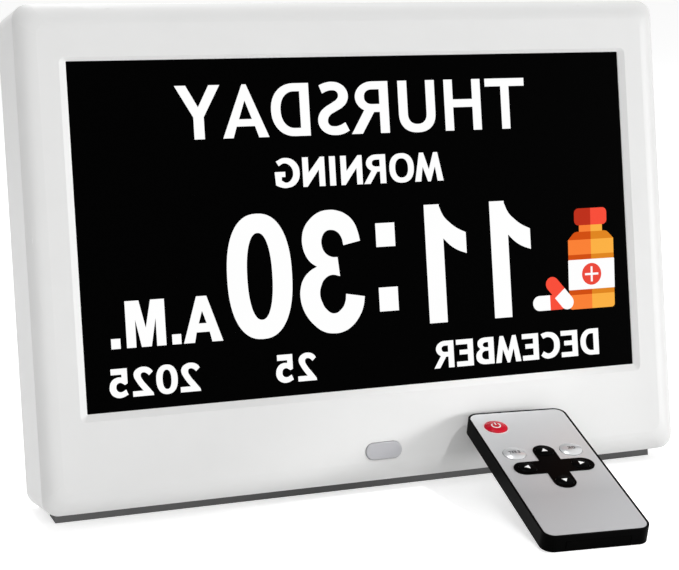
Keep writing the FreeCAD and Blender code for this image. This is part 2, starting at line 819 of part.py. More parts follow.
# ---------------------------------------------------------------- rear keys
def key_board():
    half = key_post_dz + key_board_margin
    board = slab(key_x, screen_z, key_board_w, 2 * half, board_r, key_board_y0, key_board_y1)
    return cut(board, *[rod(small_screw_r + hole_gap, x, z, 0, case_d) for x, z in key_posts()])


def key_switches():
    switches = []
    for _, z in key_places():
        body = box(key_x - switch_w / 2, key_x + switch_w / 2, key_board_y1, key_board_y1 + switch_body_t,
                   z - switch_w / 2, z + switch_w / 2)
        stem_y = key_board_y1 + switch_body_t
        switches.append(fuse(body, rod(switch_stem_r, key_x, z, stem_y - slack, stem_y + switch_stem_t)))
    return group(switches)


def rear_key(z):
    """Round key: a flange behind the cover and a cap that stands out of it."""
    flange = rod(key_flange_r, key_x, z, key_in, key_in + key_flange_t)
    cap = rod(key_r, key_x, z, key_in, case_d + key_proud)
    edge = [e for e in cap.Edges if e.BoundBox.YMin > case_d + key_proud - near]
    cap = cap.makeFillet(key_proud / 2, edge)
    return fuse(flange, cap)


# ---------------------------------------------------------------- speaker
def speaker():
    flange = rod(speaker_r, speaker_x, speaker_z, flange_y, gasket_y)
    cone_y = flange_y - speaker_cone_d
    cone = Part.makeCone(speaker_magnet_r, speaker_cone_r, speaker_cone_d,
                         V(speaker_x, cone_y, speaker_z), Y_AXIS)
    magnet = rod(speaker_magnet_r, speaker_x, speaker_z, cone_y - speaker_magnet_d, cone_y)
    dish_d = speaker_flange_t
    dish = Part.makeCone(speaker_magnet_r / 2, speaker_cone_r, dish_d,
                         V(speaker_x, gasket_y - dish_d, speaker_z), Y_AXIS)
    return cut(fuse(flange, cone, magnet), dish)


def speaker_gasket():
    return cut(rod(speaker_r, speaker_x, speaker_z, gasket_y, rear_in),
               rod(speaker_r - gasket_w, speaker_x, speaker_z, gasket_y - slack, case_d))


def speaker_clamp():
    """Steel ring that presses the speaker's flange to the cover, with an ear for a screw at each side."""
    y0 = flange_y - clamp_t
    ring = rod(speaker_r + speaker_gap + speaker_ring_t, speaker_x, speaker_z, y0, flange_y)
    ears = [rod(clamp_ear, x, z, y0, flange_y) for x, z in clamp_posts()]
    plate = fuse(ring, *ears)
    holes = [rod(speaker_cone_r + speaker_gap, speaker_x, speaker_z, 0, case_d)]
    holes += [rod(small_screw_r + hole_gap, x, z, 0, case_d) for x, z in clamp_posts()]
    return cut(plate, *holes)


# ---------------------------------------------------------------- folding leg
def stand_leg():
    """Leg drawn folded, flat in its recess."""
    y0, y1 = hinge_y - leg_t / 2, hinge_y + leg_t / 2
    tip = hinge_z + leg_len
    plate = slab(0, (hinge_z + tip) / 2, leg_w, leg_len, leg_tip_r, y0, y1)
    heel = box(-leg_w / 2, leg_w / 2, y0, y1, hinge_z, hinge_z + leg_len / 2)
    barrel = bar(barrel_r, -leg_w / 2, leg_w / 2, hinge_y, hinge_z)
    hole = bar(hinge_pin_r + hinge_pin_gap, -leg_w, leg_w, hinge_y, hinge_z)
    notch = rod(leg_notch_r, 0, tip + leg_notch_r / 3, y0 - slack, y1 + slack)
    return cut(fuse(plate, heel, barrel), hole, notch)


def stand_leg_feet():
    """Two rubber pads on the leg, drawn folded; their soles lie on the table once the leg is open."""
    slope = leg_slope()
    far = leg_len - pad_from_tip
    face = leg_t / 2
    points = []
    for along in (far, far - pad_len):
        sole = (hinge_height() - along * math.sin(slope)) / math.cos(slope)
        points.append((hinge_y + sole, hinge_z + along))
    points += [(hinge_y + face, hinge_z + far - pad_len), (hinge_y + face, hinge_z + far)]
    inner, outer = leg_notch_r + pad_from_tip, leg_w / 2 - pad_side_inset
    return group([prism(points, inner, outer), prism(points, -outer, -inner)])


def open_leg(shape):
    """Swings a piece of the leg from folded to open."""
    shape.rotate(V(0, hinge_y, hinge_z), X_AXIS, -leg_swing())
    return shape


def stand_hinge_pin():
    return bar(hinge_pin_r, -recess_x - ear_t, recess_x + ear_t, hinge_y, hinge_z)


# ---------------------------------------------------------------- remote
def remote_case():
    """Black shell: a low rim round the face, rails for the battery tray and posts for the board."""
    middle = remote_len / 2
    outer = slab(0, middle, remote_w, remote_len, remote_r, 0, face_top, True)
    inner_r = remote_r - remote_wall
    room = slab(0, middle, remote_w - 2 * remote_wall, remote_len - 2 * remote_wall, inner_r,
                remote_floor, face_z + slack / 2, True)
    seat = slab(0, middle, remote_w - 2 * remote_rim, remote_len - 2 * remote_rim, remote_r - remote_rim,
                face_z, face_top + slack, True)
    mouth_x = tray_w / 2 + 2 * tray_gap
    mouth = box(-mouth_x, mouth_x, -slack, remote_wall + slack, remote_floor, tray_top + tray_gap)
    led_z = remote_board_z - led_gap / 2 - led_r
    led_hole = rod(led_r + led_gap, 0, led_z, remote_len - remote_wall - slack, remote_len + slack)
    body = cut(outer, room, seat, mouth, led_hole)
    rails = [box(x, x + rail_t, remote_wall, tray_len + slack, remote_floor / 2, remote_board_z)
             for x in (-mouth_x - rail_t, mouth_x)]
    posts = [pillar(remote_post_r, s * remote_post_x, y, remote_floor / 2, remote_board_z)
             for s in (-1, 1) for y in (remote_post_y, remote_len - remote_post_y)]
    return fuse(body, *rails, *posts)


def remote_board():
    gap = remote_wall + remote_board_gap
    return slab(0, remote_len / 2, remote_w - 2 * gap, remote_len - 2 * gap, remote_r - gap,
                remote_board_z, remote_board_top, True)


def remote_contact():
    return slab(0, remote_coin_y, contact_w, contact_w, contact_r,
                remote_board_z - contact_t, remote_board_z, True)


def remote_ir_led():
    z = remote_board_z - led_gap / 2 - led_r
    end = remote_len + led_proud
    body = rod(led_r, 0, z, end - led_len, end - led_r)
    nose = Part.makeSphere(led_r, V(0, end - led_r, z))
    return fuse(body, nose)


def remote_battery_tray():
    plate = slab(0, tray_len / 2, tray_w, tray_len, tray_r, tray_z, tray_top, True)
    well = pillar(remote_coin_r + coin_gap, 0, remote_coin_y, tray_z + tray_floor, tray_top + slack)
    return cut(plate, well)


def remote_coin_cell():
    return pillar(remote_coin_r, 0, remote_coin_y, tray_z + tray_floor, tray_z + tray_floor + remote_coin_t)


def arrow_places():
    """Name and centre of each arrow key, round the middle of the cross."""
    steps = {"up": (0, 1), "down": (0, -1), "left": (-1, 0), "right": (1, 0)}
    return [("remote_key_" + name, cross_x + dx * arrow_at, cross_y + dy * arrow_at)
            for name, (dx, dy) in steps.items()]


def round_key_places():
    return [("remote_key_power", power_r, power_x, power_y), ("remote_key_exit", dome_r, -dome_x, dome_y),
            ("remote_key_ok", dome_r, dome_x, dome_y)]


def arrow_holes(z0, z1):
    size = arrow_w + 2 * cap_gap
    return [slab(x, y, size, size, arrow_r + cap_gap, z0, z1, True) for _, x, y in arrow_places()]


def remote_face():
    gap = remote_rim + face_gap
    face = slab(0, remote_len / 2, remote_w - 2 * gap, remote_len - 2 * gap, remote_r - gap,
                face_z, face_top, True)
    low, high = face_z - slack, face_top + slack
    holes = arrow_holes(low, high)
    holes += [pillar(r + cap_gap, x, y, low, high) for _, r, x, y in round_key_places()]
    return cut(face, *holes)


def remote_cross():
    """Thin black cross on the face, round the four arrow keys."""
    z0, z1 = face_top, face_top + cross_t
    arm_r = (arm_w - arm_end) / 2
    across = slab(cross_x, cross_y, 2 * arm_reach, arm_w, arm_r, z0, z1, True)
    along = slab(cross_x, cross_y, arm_w, 2 * arm_reach_along, arm_r, z0, z1, True)
    return cut(fuse(across, along), *arrow_holes(z0 - slack, z1 + slack))


def arrow_key(x, y):
    """Square key with a domed top and a flange under the face."""
    top = face_top + arrow_proud
    shaft = slab(x, y, arrow_w, arrow_w, arrow_r, cap_z, top, True)
    dome = Part.makeSphere(arrow_dome_r, V(x, y, top - arrow_dome_r))
    size = arrow_w + 2 * cap_flange
    flange = slab(x, y, size, size, arrow_r, cap_z, cap_z + cap_flange_t, True)
    return fuse(shaft.common(dome), flange)


def round_key(r, x, y):
    """Round key with a domed top and a flange under the face."""
    top = face_top + cap_edge + cap_dome
    radius = (r ** 2 + cap_dome ** 2) / (2 * cap_dome)
    shaft = pillar(r, x, y, cap_z, top)
    dome = Part.makeSphere(radius, V(x, y, top - radius))
    flange = pillar(r + cap_flange, x, y, cap_z, cap_z + cap_flange_t)
    return fuse(shaft.common(dome), flange)


# ---------------------------------------------------------------- placing in the shared frame
def clock_placement():
    """Leans the clock back and puts the middle of the foot strip's sole at the origin."""
    turn = FreeCAD.Rotation(X_AXIS, -lean)
    sole = turn.multVec(V(0, (strip_y0 + strip_y1) / 2, -(foot_strip_t + strip_drop) / 2))
    return FreeCAD.Placement(-sole, turn)


def remote_placement():
    """Lays the remote's lower edge on the table and its upper end against the clock's face."""
    turn = FreeCAD.Rotation(Z_AXIS, remote_yaw).multiply(FreeCAD.Rotation(X_AXIS, remote_pitch))
    ends = [turn.multVec(V(side * remote_w / 2, remote_len, 0)) for side in (-1, 1)]
    corner = max(ends, key=lambda end: end.y)
    face = clock_placement().multVec(V(0, 0, 0))
    face_y = face.y + (corner.z - face.z) * math.tan(LEAN)
    y = face_y - remote_clear / math.cos(LEAN) - corner.y
    return FreeCAD.Placement(V(remote_x, y, 0), turn)


# ---------------------------------------------------------------- writing
CLOCK_NODES = [
    front_frame, rear_cover, case_screws, foot_strip, lcd_glass, lcd_backlight, lcd_metal_frame, lcd_brackets,
    bracket_screws, lcd_cable, ir_window, ir_receiver, ir_board, ir_cable, main_board, board_chips,
    board_connectors, board_screws, coin_cell_holder, backup_coin_cell, dc_jack, key_board, key_switches,
    key_cable, speaker, speaker_gasket, speaker_clamp, stand_hinge_pin]
LEG_NODES = [stand_leg, stand_leg_feet]
REMOTE_NODES = [
    remote_case, remote_board, remote_contact, remote_ir_led, remote_battery_tray, remote_coin_cell,
    remote_face, remote_cross]


def clock_parts():
    """Every node of the clock, upright, with its leg open."""
    parts = {make.__name__: make() for make in CLOCK_NODES}
    parts.update({make.__name__: open_leg(make()) for make in LEG_NODES})
    parts.update({name: rear_key(z) for name, z in key_places()})
    return parts


def remote_parts():
    """Every node of the remote, lying flat."""
    parts = {make.__name__: make() for make in REMOTE_NODES}
    parts.update({name: arrow_key(x, y) for name, x, y in arrow_places()})
    parts.update({name: round_key(r, x, y) for name, r, x, y in round_key_places()})
    return parts


def main():
    os.makedirs("parts", exist_ok=True)
    for parts, placement in ((clock_parts(), clock_placement()), (remote_parts(), remote_placement())):
        for name, shape in parts.items():
            shape.Placement = placement.multiply(shape.Placement)
            shape.exportStep("parts/" + name + ".step")
            print("%-20s solids %2d  valid %s  volume %9.1f" % (
                name, len(shape.Solids), shape.isValid(), shape.Volume))


if __name__ == "__main__":
    main()
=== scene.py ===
import json
import math

import bmesh
import bpy
from mathutils import Matrix, Vector


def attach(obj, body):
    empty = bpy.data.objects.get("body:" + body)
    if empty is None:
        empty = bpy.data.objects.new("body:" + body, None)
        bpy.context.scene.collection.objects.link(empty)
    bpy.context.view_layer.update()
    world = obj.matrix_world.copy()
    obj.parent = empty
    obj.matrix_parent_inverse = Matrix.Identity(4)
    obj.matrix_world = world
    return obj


# Looks of the day clock and its remote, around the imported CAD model.
# The scene is in metres, and its outlines are drawn in millimetres.
#
# Outlines are drawn in the plane of a face: u to the right, v up, w out of the face towards the viewer.
# The photograph is mirrored left to right, and so is the lettering on the screen and on the remote.

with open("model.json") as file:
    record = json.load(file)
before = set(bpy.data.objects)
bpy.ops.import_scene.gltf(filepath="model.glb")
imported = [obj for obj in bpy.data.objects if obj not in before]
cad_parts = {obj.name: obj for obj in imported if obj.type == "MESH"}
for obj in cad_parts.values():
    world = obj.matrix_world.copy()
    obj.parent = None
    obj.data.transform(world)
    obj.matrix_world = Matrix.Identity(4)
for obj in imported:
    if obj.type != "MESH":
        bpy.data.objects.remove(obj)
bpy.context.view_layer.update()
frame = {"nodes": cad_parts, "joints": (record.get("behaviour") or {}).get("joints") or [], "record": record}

MM = 0.001
nodes = frame["nodes"]


# ---------------------------------------------------------------- camera
FOCAL_PX = 1682.0         # fitted to the corners of the screen and the edges of the case
IMAGE_W_PX = 679.0
SENSOR_MM = 36.0
CAMERA_AT = (-0.23732, -0.58288, 0.19284)
CAMERA_HEADING = 21.19    # degrees to the right of +Y
CAMERA_DIP = 10.315       # degrees below level


def make_camera():
    data = bpy.data.cameras.new("camera")
    data.sensor_width = SENSOR_MM
    data.lens = FOCAL_PX / IMAGE_W_PX * SENSOR_MM
    data.clip_start = 0.01
    camera = bpy.data.objects.new("camera", data)
    camera.location = CAMERA_AT
    camera.rotation_euler = (math.radians(90 - CAMERA_DIP), 0, -math.radians(CAMERA_HEADING))
    bpy.context.scene.collection.objects.link(camera)
    bpy.context.scene.camera = camera


make_camera()
bpy.context.scene.view_settings.view_transform = "Standard"


# ---------------------------------------------------------------- axes taken from the frame
def joint_axis(name):
    joint = next(j for j in frame["joints"] if j["name"] == name)
    return Vector(joint["axis"]).normalized()


def columns(*directions):
    return Matrix(directions).transposed()


ACROSS = Vector((1, 0, 0))
FACE_OUT = joint_axis("key_power_press")                       # rear keys press towards the front
FACE_UP = FACE_OUT.cross(ACROSS)
FRONT = columns(ACROSS, FACE_UP, FACE_OUT)                     # plane of the clock's face
REAR = columns(-ACROSS, FACE_UP, -FACE_OUT)                    # plane of its back
REMOTE_OUT = -joint_axis("remote_key_ok_press")
REMOTE_ALONG = -joint_axis("battery_tray_slide")
REMOTE = columns(REMOTE_ALONG.cross(REMOTE_OUT), REMOTE_ALONG, REMOTE_OUT)


def span(node, axes):
    """Lowest and highest corner of a node, measured along the given axes."""
    turn = axes.transposed()
    points = [turn @ vertex.co for vertex in nodes[node].data.vertices]
    low = Vector([min(p[i] for p in points) for i in range(3)])
    high = Vector([max(p[i] for p in points) for i in range(3)])
    return low, high


def top_centre(node, axes):
    """Point in the middle of a node's outer face."""
    low, high = span(node, axes)
    middle = (low + high) / 2
    return axes @ Vector((middle.x, middle.y, high.z))


# ---------------------------------------------------------------- materials
PLASTIC_IOR = 1.5
COAT_ROUGHNESS = 0.08
GRAIN_STRENGTH = 0.3
BRUSHED_ROUGHNESS = 0.32
BRUSHED_SCALE = (20, 900, 900)    # the noise is stretched into lines along x
BRUSHED_DARKEST = 0.85            # share of the colour in its darkest lines
BACKLIGHT_UNEVEN = 0.01           # share by which the lit picture's brightness varies


def node_material(name):
    material = bpy.data.materials.new(name)
    material.use_nodes = True
    tree = material.node_tree
    return material, tree, tree.nodes["Principled BSDF"]


def noise(tree, scale, detail=2.0):
    """Noise in the object's own place, at so many features per metre."""
    place = tree.nodes.new("ShaderNodeTexCoord")
    texture = tree.nodes.new("ShaderNodeTexNoise")
    texture.inputs["Scale"].default_value = scale
    texture.inputs["Detail"].default_value = detail
    tree.links.new(place.outputs["Object"], texture.inputs["Vector"])
    return texture


def ramp(tree, source, low, high, start=0.3, end=0.7):
    """Blends from one colour to another with a texture's value."""
    blend = tree.nodes.new("ShaderNodeValToRGB")
    blend.color_ramp.elements[0].position = start
    blend.color_ramp.elements[0].color = (*low, 1)
    blend.color_ramp.elements[1].position = end
    blend.color_ramp.elements[1].color = (*high, 1)
    tree.links.new(source, blend.inputs["Fac"])
    return blend


def bump(tree, shader, source, height, strength):
    """Raises the surface by a texture, at most height metres."""
    relief = tree.nodes.new("ShaderNodeBump")
    relief.inputs["Distance"].default_value = height
    relief.inputs["Strength"].default_value = strength
    tree.links.new(source, relief.inputs["Height"])
    tree.links.new(relief.outputs["Normal"], shader.inputs["Normal"])


def surface(name, color, roughness, metallic=0.0, specular=0.5, vary=0.04, patch=60.0,
            grain=None, grain_height=0.01, coat=0.0):
    """Plastic, rubber or metal whose colour varies a little, with a grain at most grain_height mm high."""
    material, tree, shader = node_material(name)
    shader.inputs["Roughness"].default_value = roughness
    shader.inputs["Metallic"].default_value = metallic
    shader.inputs["Specular IOR Level"].default_value = specular
    shader.inputs["Coat Weight"].default_value = coat
    shader.inputs["Coat Roughness"].default_value = COAT_ROUGHNESS
    shader.inputs["IOR"].default_value = PLASTIC_IOR
    darker = [c * (1 - vary) for c in color]
    lighter = [min(1.0, c * (1 + vary)) for c in color]
    blend = ramp(tree, noise(tree, patch).outputs["Fac"], darker, lighter)
    tree.links.new(blend.outputs["Color"], shader.inputs["Base Color"])
    if grain:
        bump(tree, shader, noise(tree, grain, 3.0).outputs["Fac"], grain_height * MM, GRAIN_STRENGTH)
    return material


def lit(name, color):
    """Part of the lit picture on the screen, with the slight unevenness of its backlight."""
    material, tree, shader = node_material(name)
    shader.inputs["Base Color"].default_value = (0, 0, 0, 1)
    shader.inputs["Specular IOR Level"].default_value = 0.0
    shader.inputs["Emission Strength"].default_value = 1.0
    darker = [c * (1 - BACKLIGHT_UNEVEN) for c in color]
    blend = ramp(tree, noise(tree, 25.0).outputs["Fac"], darker, color)
    tree.links.new(blend.outputs["Color"], shader.inputs["Emission Color"])
    return material


def printed_board(name):
    """Green solder mask with paler traces under it."""
    material, tree, shader = node_material(name)
    shader.inputs["Roughness"].default_value = 0.35
    place = tree.nodes.new("ShaderNodeTexCoord")
    traces = tree.nodes.new("ShaderNodeTexBrick")
    traces.inputs["Scale"].default_value = 220.0
    traces.inputs["Mortar Size"].default_value = 0.06
    traces.inputs["Color1"].default_value = (0.010, 0.105, 0.040, 1)
    traces.inputs["Color2"].default_value = (0.014, 0.125, 0.050, 1)
    traces.inputs["Mortar"].default_value = (0.040, 0.220, 0.090, 1)
    tree.links.new(place.outputs["Object"], traces.inputs["Vector"])
    tree.links.new(traces.outputs["Color"], shader.inputs["Base Color"])
    return material


def brushed(name, color):
    """Metal with fine lines along x."""
    material, tree, shader = node_material(name)
    shader.inputs["Metallic"].default_value = 1.0
    place = tree.nodes.new("ShaderNodeTexCoord")
    spread = tree.nodes.new("ShaderNodeMapping")
    spread.inputs["Scale"].default_value = BRUSHED_SCALE
    texture = tree.nodes.new("ShaderNodeTexNoise")
    texture.inputs["Scale"].default_value = 2.0
    tree.links.new(place.outputs["Object"], spread.inputs["Vector"])
    tree.links.new(spread.outputs["Vector"], texture.inputs["Vector"])
    blend = ramp(tree, texture.outputs["Fac"], [c * BRUSHED_DARKEST for c in color], color)
    tree.links.new(blend.outputs["Color"], shader.inputs["Base Color"])
    shader.inputs["Roughness"].default_value = BRUSHED_ROUGHNESS
    return material


def remote_sheet_painted_shade(name):
    """Satin silver sheet of the remote, with painted shade: a little darker towards its lower end."""
    material, tree, shader = node_material(name)
    shader.inputs["Roughness"].default_value = 0.34
    shader.inputs["Metallic"].default_value = 0.25
    low, high = span("remote_face", REMOTE)
    place = tree.nodes.new("ShaderNodeTexCoord")
    along = tree.nodes.new("ShaderNodeVectorMath")
    along.operation = "DOT_PRODUCT"
    along.inputs[1].default_value = REMOTE_ALONG
    share = tree.nodes.new("ShaderNodeMapRange")
    share.inputs["From Min"].default_value = low.y
    share.inputs["From Max"].default_value = high.y
    tree.links.new(place.outputs["Object"], along.inputs[0])
    tree.links.new(along.outputs["Value"], share.inputs["Value"])
    # painted shade: the base colour stays at 0.40 over the lower 30 % of the sheet and rises to 0.78 at its
    # top
    lower, upper = (0.40, 0.40, 0.41), (0.78, 0.79, 0.80)
    blend = ramp(tree, share.outputs["Result"], lower, upper, 0.3, 1.0)
    tree.links.new(blend.outputs["Color"], shader.inputs["Base Color"])
    bump(tree, shader, noise(tree, 5200.0).outputs["Fac"], 0.004 * MM, 0.2)
    return material


def screen_glass(name):
    """Black panel behind a non-reflecting coat."""
    material, tree, shader = node_material(name)
    shader.inputs["Roughness"].default_value = 0.22
    shader.inputs["IOR"].default_value = 1.06
    blend = ramp(tree, noise(tree, 900.0).outputs["Fac"], (0.0001,) * 3, (0.0003,) * 3)
    tree.links.new(blend.outputs["Color"], shader.inputs["Base Color"])
    return material


SHELL = (0.80, 0.80, 0.795)
SLOTS = {
    "white_shell": surface("white_shell", SHELL, 0.42, vary=0.008, grain=2600.0, grain_height=0.006),
    "key_grey": surface("key_grey", (0.42, 0.42, 0.43), 0.45, grain=2600.0),
    "screw_steel": brushed("screw_steel", (0.42, 0.42, 0.43)),
    # dark grey rubber; its foot strip, seen under the case's front edge, stands in for the shadow there, and
    # its grey was set to that shadow's tone: partly a painted shadow
    "black_rubber": surface("black_rubber", (0.13, 0.13, 0.13), 0.8, specular=0.2, grain=1500.0,
                            grain_height=0.03),
    "screen_glass": screen_glass("screen_glass"),
    "light_guide": surface("light_guide", (0.80, 0.82, 0.84), 0.25, grain=900.0),
    "sheet_steel": brushed("sheet_steel", (0.60, 0.60, 0.61)),
    "ribbon": surface("ribbon", (0.75, 0.72, 0.62), 0.4, grain=700.0),
    "oval_grey": surface("oval_grey", (0.50, 0.50, 0.525), 0.2, vary=0.02, coat=0.3, grain=400.0,
                         grain_height=0.004),
    "chip_black": surface("chip_black", (0.02, 0.02, 0.021), 0.5, grain=3000.0),
    "board_green": printed_board("board_green"),
    "socket_white": surface("socket_white", (0.80, 0.78, 0.72), 0.45, grain=1500.0),
    "cell_steel": brushed("cell_steel", (0.66, 0.66, 0.65)),
    "jack_black": surface("jack_black", (0.015, 0.015, 0.015), 0.45, grain=2500.0),
    "speaker_black": surface("speaker_black", (0.02, 0.02, 0.02), 0.65, grain=2000.0, grain_height=0.04),
    "foam_black": surface("foam_black", (0.03, 0.03, 0.03), 0.9, grain=1800.0, grain_height=0.1),
    "remote_black": surface("remote_black", (0.001, 0.001, 0.001), 0.4, vary=0.3, specular=0.01, grain=2500.0,
                            grain_height=0.005),
    "remote_silver": remote_sheet_painted_shade("remote_silver"),
    "remote_gloss_black": surface("remote_gloss_black", (0.001, 0.001, 0.001), 0.25, vary=0.3, specular=0.01,
                                  grain=800.0, grain_height=0.002),
    "remote_red": surface("remote_red", (0.56, 0.003, 0.02), 0.16, specular=0.15, vary=0.06, coat=0.1,
                          grain=800.0, grain_height=0.002),
    "dome_silver": surface("dome_silver", (0.62, 0.63, 0.64), 0.22, metallic=0.35, coat=0.6, grain=1200.0,
                           grain_height=0.003),
    "contact_brass": brushed("contact_brass", (0.75, 0.58, 0.30)),
    "led_clear": surface("led_clear", (0.10, 0.08, 0.12), 0.1, coat=0.5, grain=600.0, grain_height=0.002),
}

SCREEN_WHITE = lit("screen_white", (1.0, 1.0, 1.0))
CAP_DARK = lit("icon_cap_dark", (0.515, 0.032, 0.013))
CAP_LIGHT = lit("icon_cap_light", (0.95, 0.080, 0.045))
AMBER_DARK = lit("icon_amber_dark", (0.97, 0.223, 0.039))
AMBER_LIGHT = lit("icon_amber_light", (0.98, 0.445, 0.061))
BAND_DARK = lit("icon_band_dark", (0.645, 0.080, 0.007))
BAND_LIGHT = lit("icon_band_light", (0.753, 0.242, 0.017))
SIGN_RED = lit("icon_sign_red", (0.84, 0.070, 0.045))
PRINT_WHITE = surface("print_white", (0.86, 0.86, 0.86), 0.4, vary=0.01, grain=2000.0, grain_height=0.002)
PRINT_BLACK = surface("print_black", (0.03, 0.03, 0.035), 0.5, vary=0.05, grain=2000.0, grain_height=0.002)
RING_PINK = surface("ring_pink", (0.85, 0.66, 0.68), 0.35, vary=0.02, grain=2000.0, grain_height=0.002)


def dress_cad_nodes():
    for part in frame["record"]["subparts"]:
        materials = nodes[part["node"]].data.materials
        materials.clear()
        materials.append(SLOTS[part["material_slot"]])


dress_cad_nodes()


# ---------------------------------------------------------------- flat shapes
WELD = 1e-5               # points of a mesh that are closer than this become one


def mesh_of(data, name, middle):
    """Mesh of a curve, moved so that the middle of its depth lies at w = middle."""
    carrier = bpy.data.objects.new(name, data)
    bpy.context.scene.collection.objects.link(carrier)
    bpy.context.view_layer.update()
    evaluated = carrier.evaluated_get(bpy.context.evaluated_depsgraph_get())
    mesh = bpy.data.meshes.new_from_object(evaluated)
    bpy.data.objects.remove(carrier)
    mesh.transform(Matrix.Translation((0, 0, middle)))
    return mesh


def relief(loops, low, high, smooth=False):
    """Flat solid from outlines in mm, from w = low to w = high. An outline inside another is a hole."""
    curve = bpy.data.curves.new("outline", "CURVE")
    curve.dimensions = "2D"
    curve.fill_mode = "BOTH"
    curve.extrude = (high - low) / 2
    for loop in loops:
        if smooth:
            add_smooth(curve, loop)
        else:
            spline = curve.splines.new("POLY")
            spline.points.add(len(loop) - 1)
            for point, (u, v) in zip(spline.points, loop):
                point.co = (u, v, 0, 1)
            spline.use_cyclic_u = True
    return mesh_of(curve, "relief", (low + high) / 2)


def add_smooth(curve, loop):
    """Outline through its points: (u, v) is a corner and (u, v, 1) a point on a curve."""
    spline = curve.splines.new("BEZIER")
    spline.bezier_points.add(len(loop) - 1)
    spline.resolution_u = 8
    spline.use_cyclic_u = True
    for point, (u, v, *curved) in zip(spline.bezier_points, loop):
        point.co = (u, v, 0)
        point.handle_left_type = point.handle_right_type = "AUTO" if curved else "VECTOR"


def merged(parts):
    """One mesh from (mesh, material) pairs; its faces keep their materials."""
    joined = bmesh.new()
    materials = []
    for mesh, material in parts:
        if material not in materials:
            materials.append(material)
        first = len(joined.faces)
        joined.from_mesh(mesh)
        joined.faces.ensure_lookup_table()
        for face in joined.faces[first:]:
            face.material_index = materials.index(material)
            face.smooth = False
        bpy.data.meshes.remove(mesh)
    bmesh.ops.remove_doubles(joined, verts=joined.verts, dist=WELD)
    bmesh.ops.recalc_face_normals(joined, faces=joined.faces)
    mesh = bpy.data.meshes.new("merged")
    joined.to_mesh(mesh)
    joined.free()
    for material in materials:
        mesh.materials.append(material)
    return mesh


def place(name, mesh, axes, origin, body, slot):
    """Piece from a mesh drawn in mm: u, v and w lie along the axes, from the origin."""
    mesh.transform(Matrix.Scale(MM, 4))
    mesh.name = name
    piece = bpy.data.objects.new(name, mesh)
    bpy.context.scene.collection.objects.link(piece)
    piece.matrix_world = Matrix.Translation(origin) @ axes.to_4x4()
    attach(piece, body)
    return piece


def mirror(mesh, about=0.0):
    """Turns a mesh left to right about u = about."""
    mesh.transform(Matrix.Translation((2 * about, 0, 0)) @ Matrix.Scale(-1, 4, (1, 0, 0)))
    mesh.flip_normals()
    return mesh


def circle(cu, cv, r, steps=40, start=0.0, sweep=360.0):
    """Points round a circle or along an arc, in degrees from the u axis."""
    closed = abs(sweep) >= 360
    count = steps if closed else steps + 1
    turns = [math.radians(start + sweep * i / steps) for i in range(count)]
    return [(cu + r * math.cos(a), cv + r * math.sin(a)) for a in turns]


def rounded_box(u0, v0, u1, v1, r, steps=6):
    corners = [(u1 - r, v1 - r, 0), (u0 + r, v1 - r, 90), (u0 + r, v0 + r, 180), (u1 - r, v0 + r, 270)]
    points = []
    for cu, cv, start in corners:
        points += circle(cu, cv, r, steps, start, 90)
    return points


# ---------------------------------------------------------------- lettering
# Letters and figures are drawn readable, from u = 0, and stand on v = 0.
TEXT_LOW, TEXT_HIGH = 0.01, 0.06     # the picture lies in front of the glass by so many mm
LAYER = 0.03                         # from one layer of the picture to the next

STRAIGHT_LETTERS = {                 # outlines in shares of the width and of the height
    "A": [[(0, 0), (0.222, 0), (0.302, 0.215), (0.698, 0.215), (0.778, 0), (1, 0), (0.545, 1), (0.455, 1)],
          [(0.36, 0.35), (0.64, 0.35), (0.5, 0.7)]],
    "E": [[(0, 0), (0.99, 0), (0.99, 0.185), (0.325, 0.185), (0.325, 0.44), (0.81, 0.44), (0.81, 0.615),
           (0.325, 0.615), (0.325, 0.815), (1, 0.815), (1, 1), (0, 1)]],
    "H": [[(0, 0), (0.233, 0), (0.233, 0.455), (0.767, 0.455), (0.767, 0), (1, 0), (1, 1), (0.767, 1),
           (0.767, 0.61), (0.233, 0.61), (0.233, 1), (0, 1)]],
    "I": [[(0, 0), (1, 0), (1, 1), (0, 1)]],
    "K": [[(0, 0), (0.27, 0), (0.27, 0.3), (0.38, 0.44), (0.68, 0), (1, 0), (0.58, 0.62), (0.95, 1),
           (0.6, 1), (0.27, 0.63), (0.27, 1), (0, 1)]],
    "M": [[(0, 0), (0.21, 0), (0.285, 0.51), (0.452, -0.01), (0.548, -0.01), (0.715, 0.51), (0.79, 0),
           (1, 0), (0.82, 1), (0.675, 1), (0.5, 0.41), (0.325, 1), (0.18, 1)]],
    "N": [[(0, 0), (0.265, 0), (0.265, 0.57), (0.81, 0), (1, 0), (1, 1), (0.735, 1), (0.735, 0.475),
           (0.19, 1), (0, 1)]],
    "T": [[(0.395, 0), (0.605, 0), (0.605, 0.845), (1, 0.845), (1, 1), (0, 1), (0, 0.845), (0.395, 0.845)]],
    "X": [[(0, 0), (0.32, 0), (0.5, 0.31), (0.68, 0), (1, 0), (0.67, 0.51), (0.98, 1), (0.67, 1),
           (0.5, 0.71), (0.33, 1), (0.02, 1), (0.33, 0.51)]],
    "Y": [[(0.385, 0), (0.615, 0), (0.615, 0.41), (1, 1), (0.755, 1), (0.5, 0.595), (0.245, 1), (0, 1),
           (0.385, 0.41)]],
}
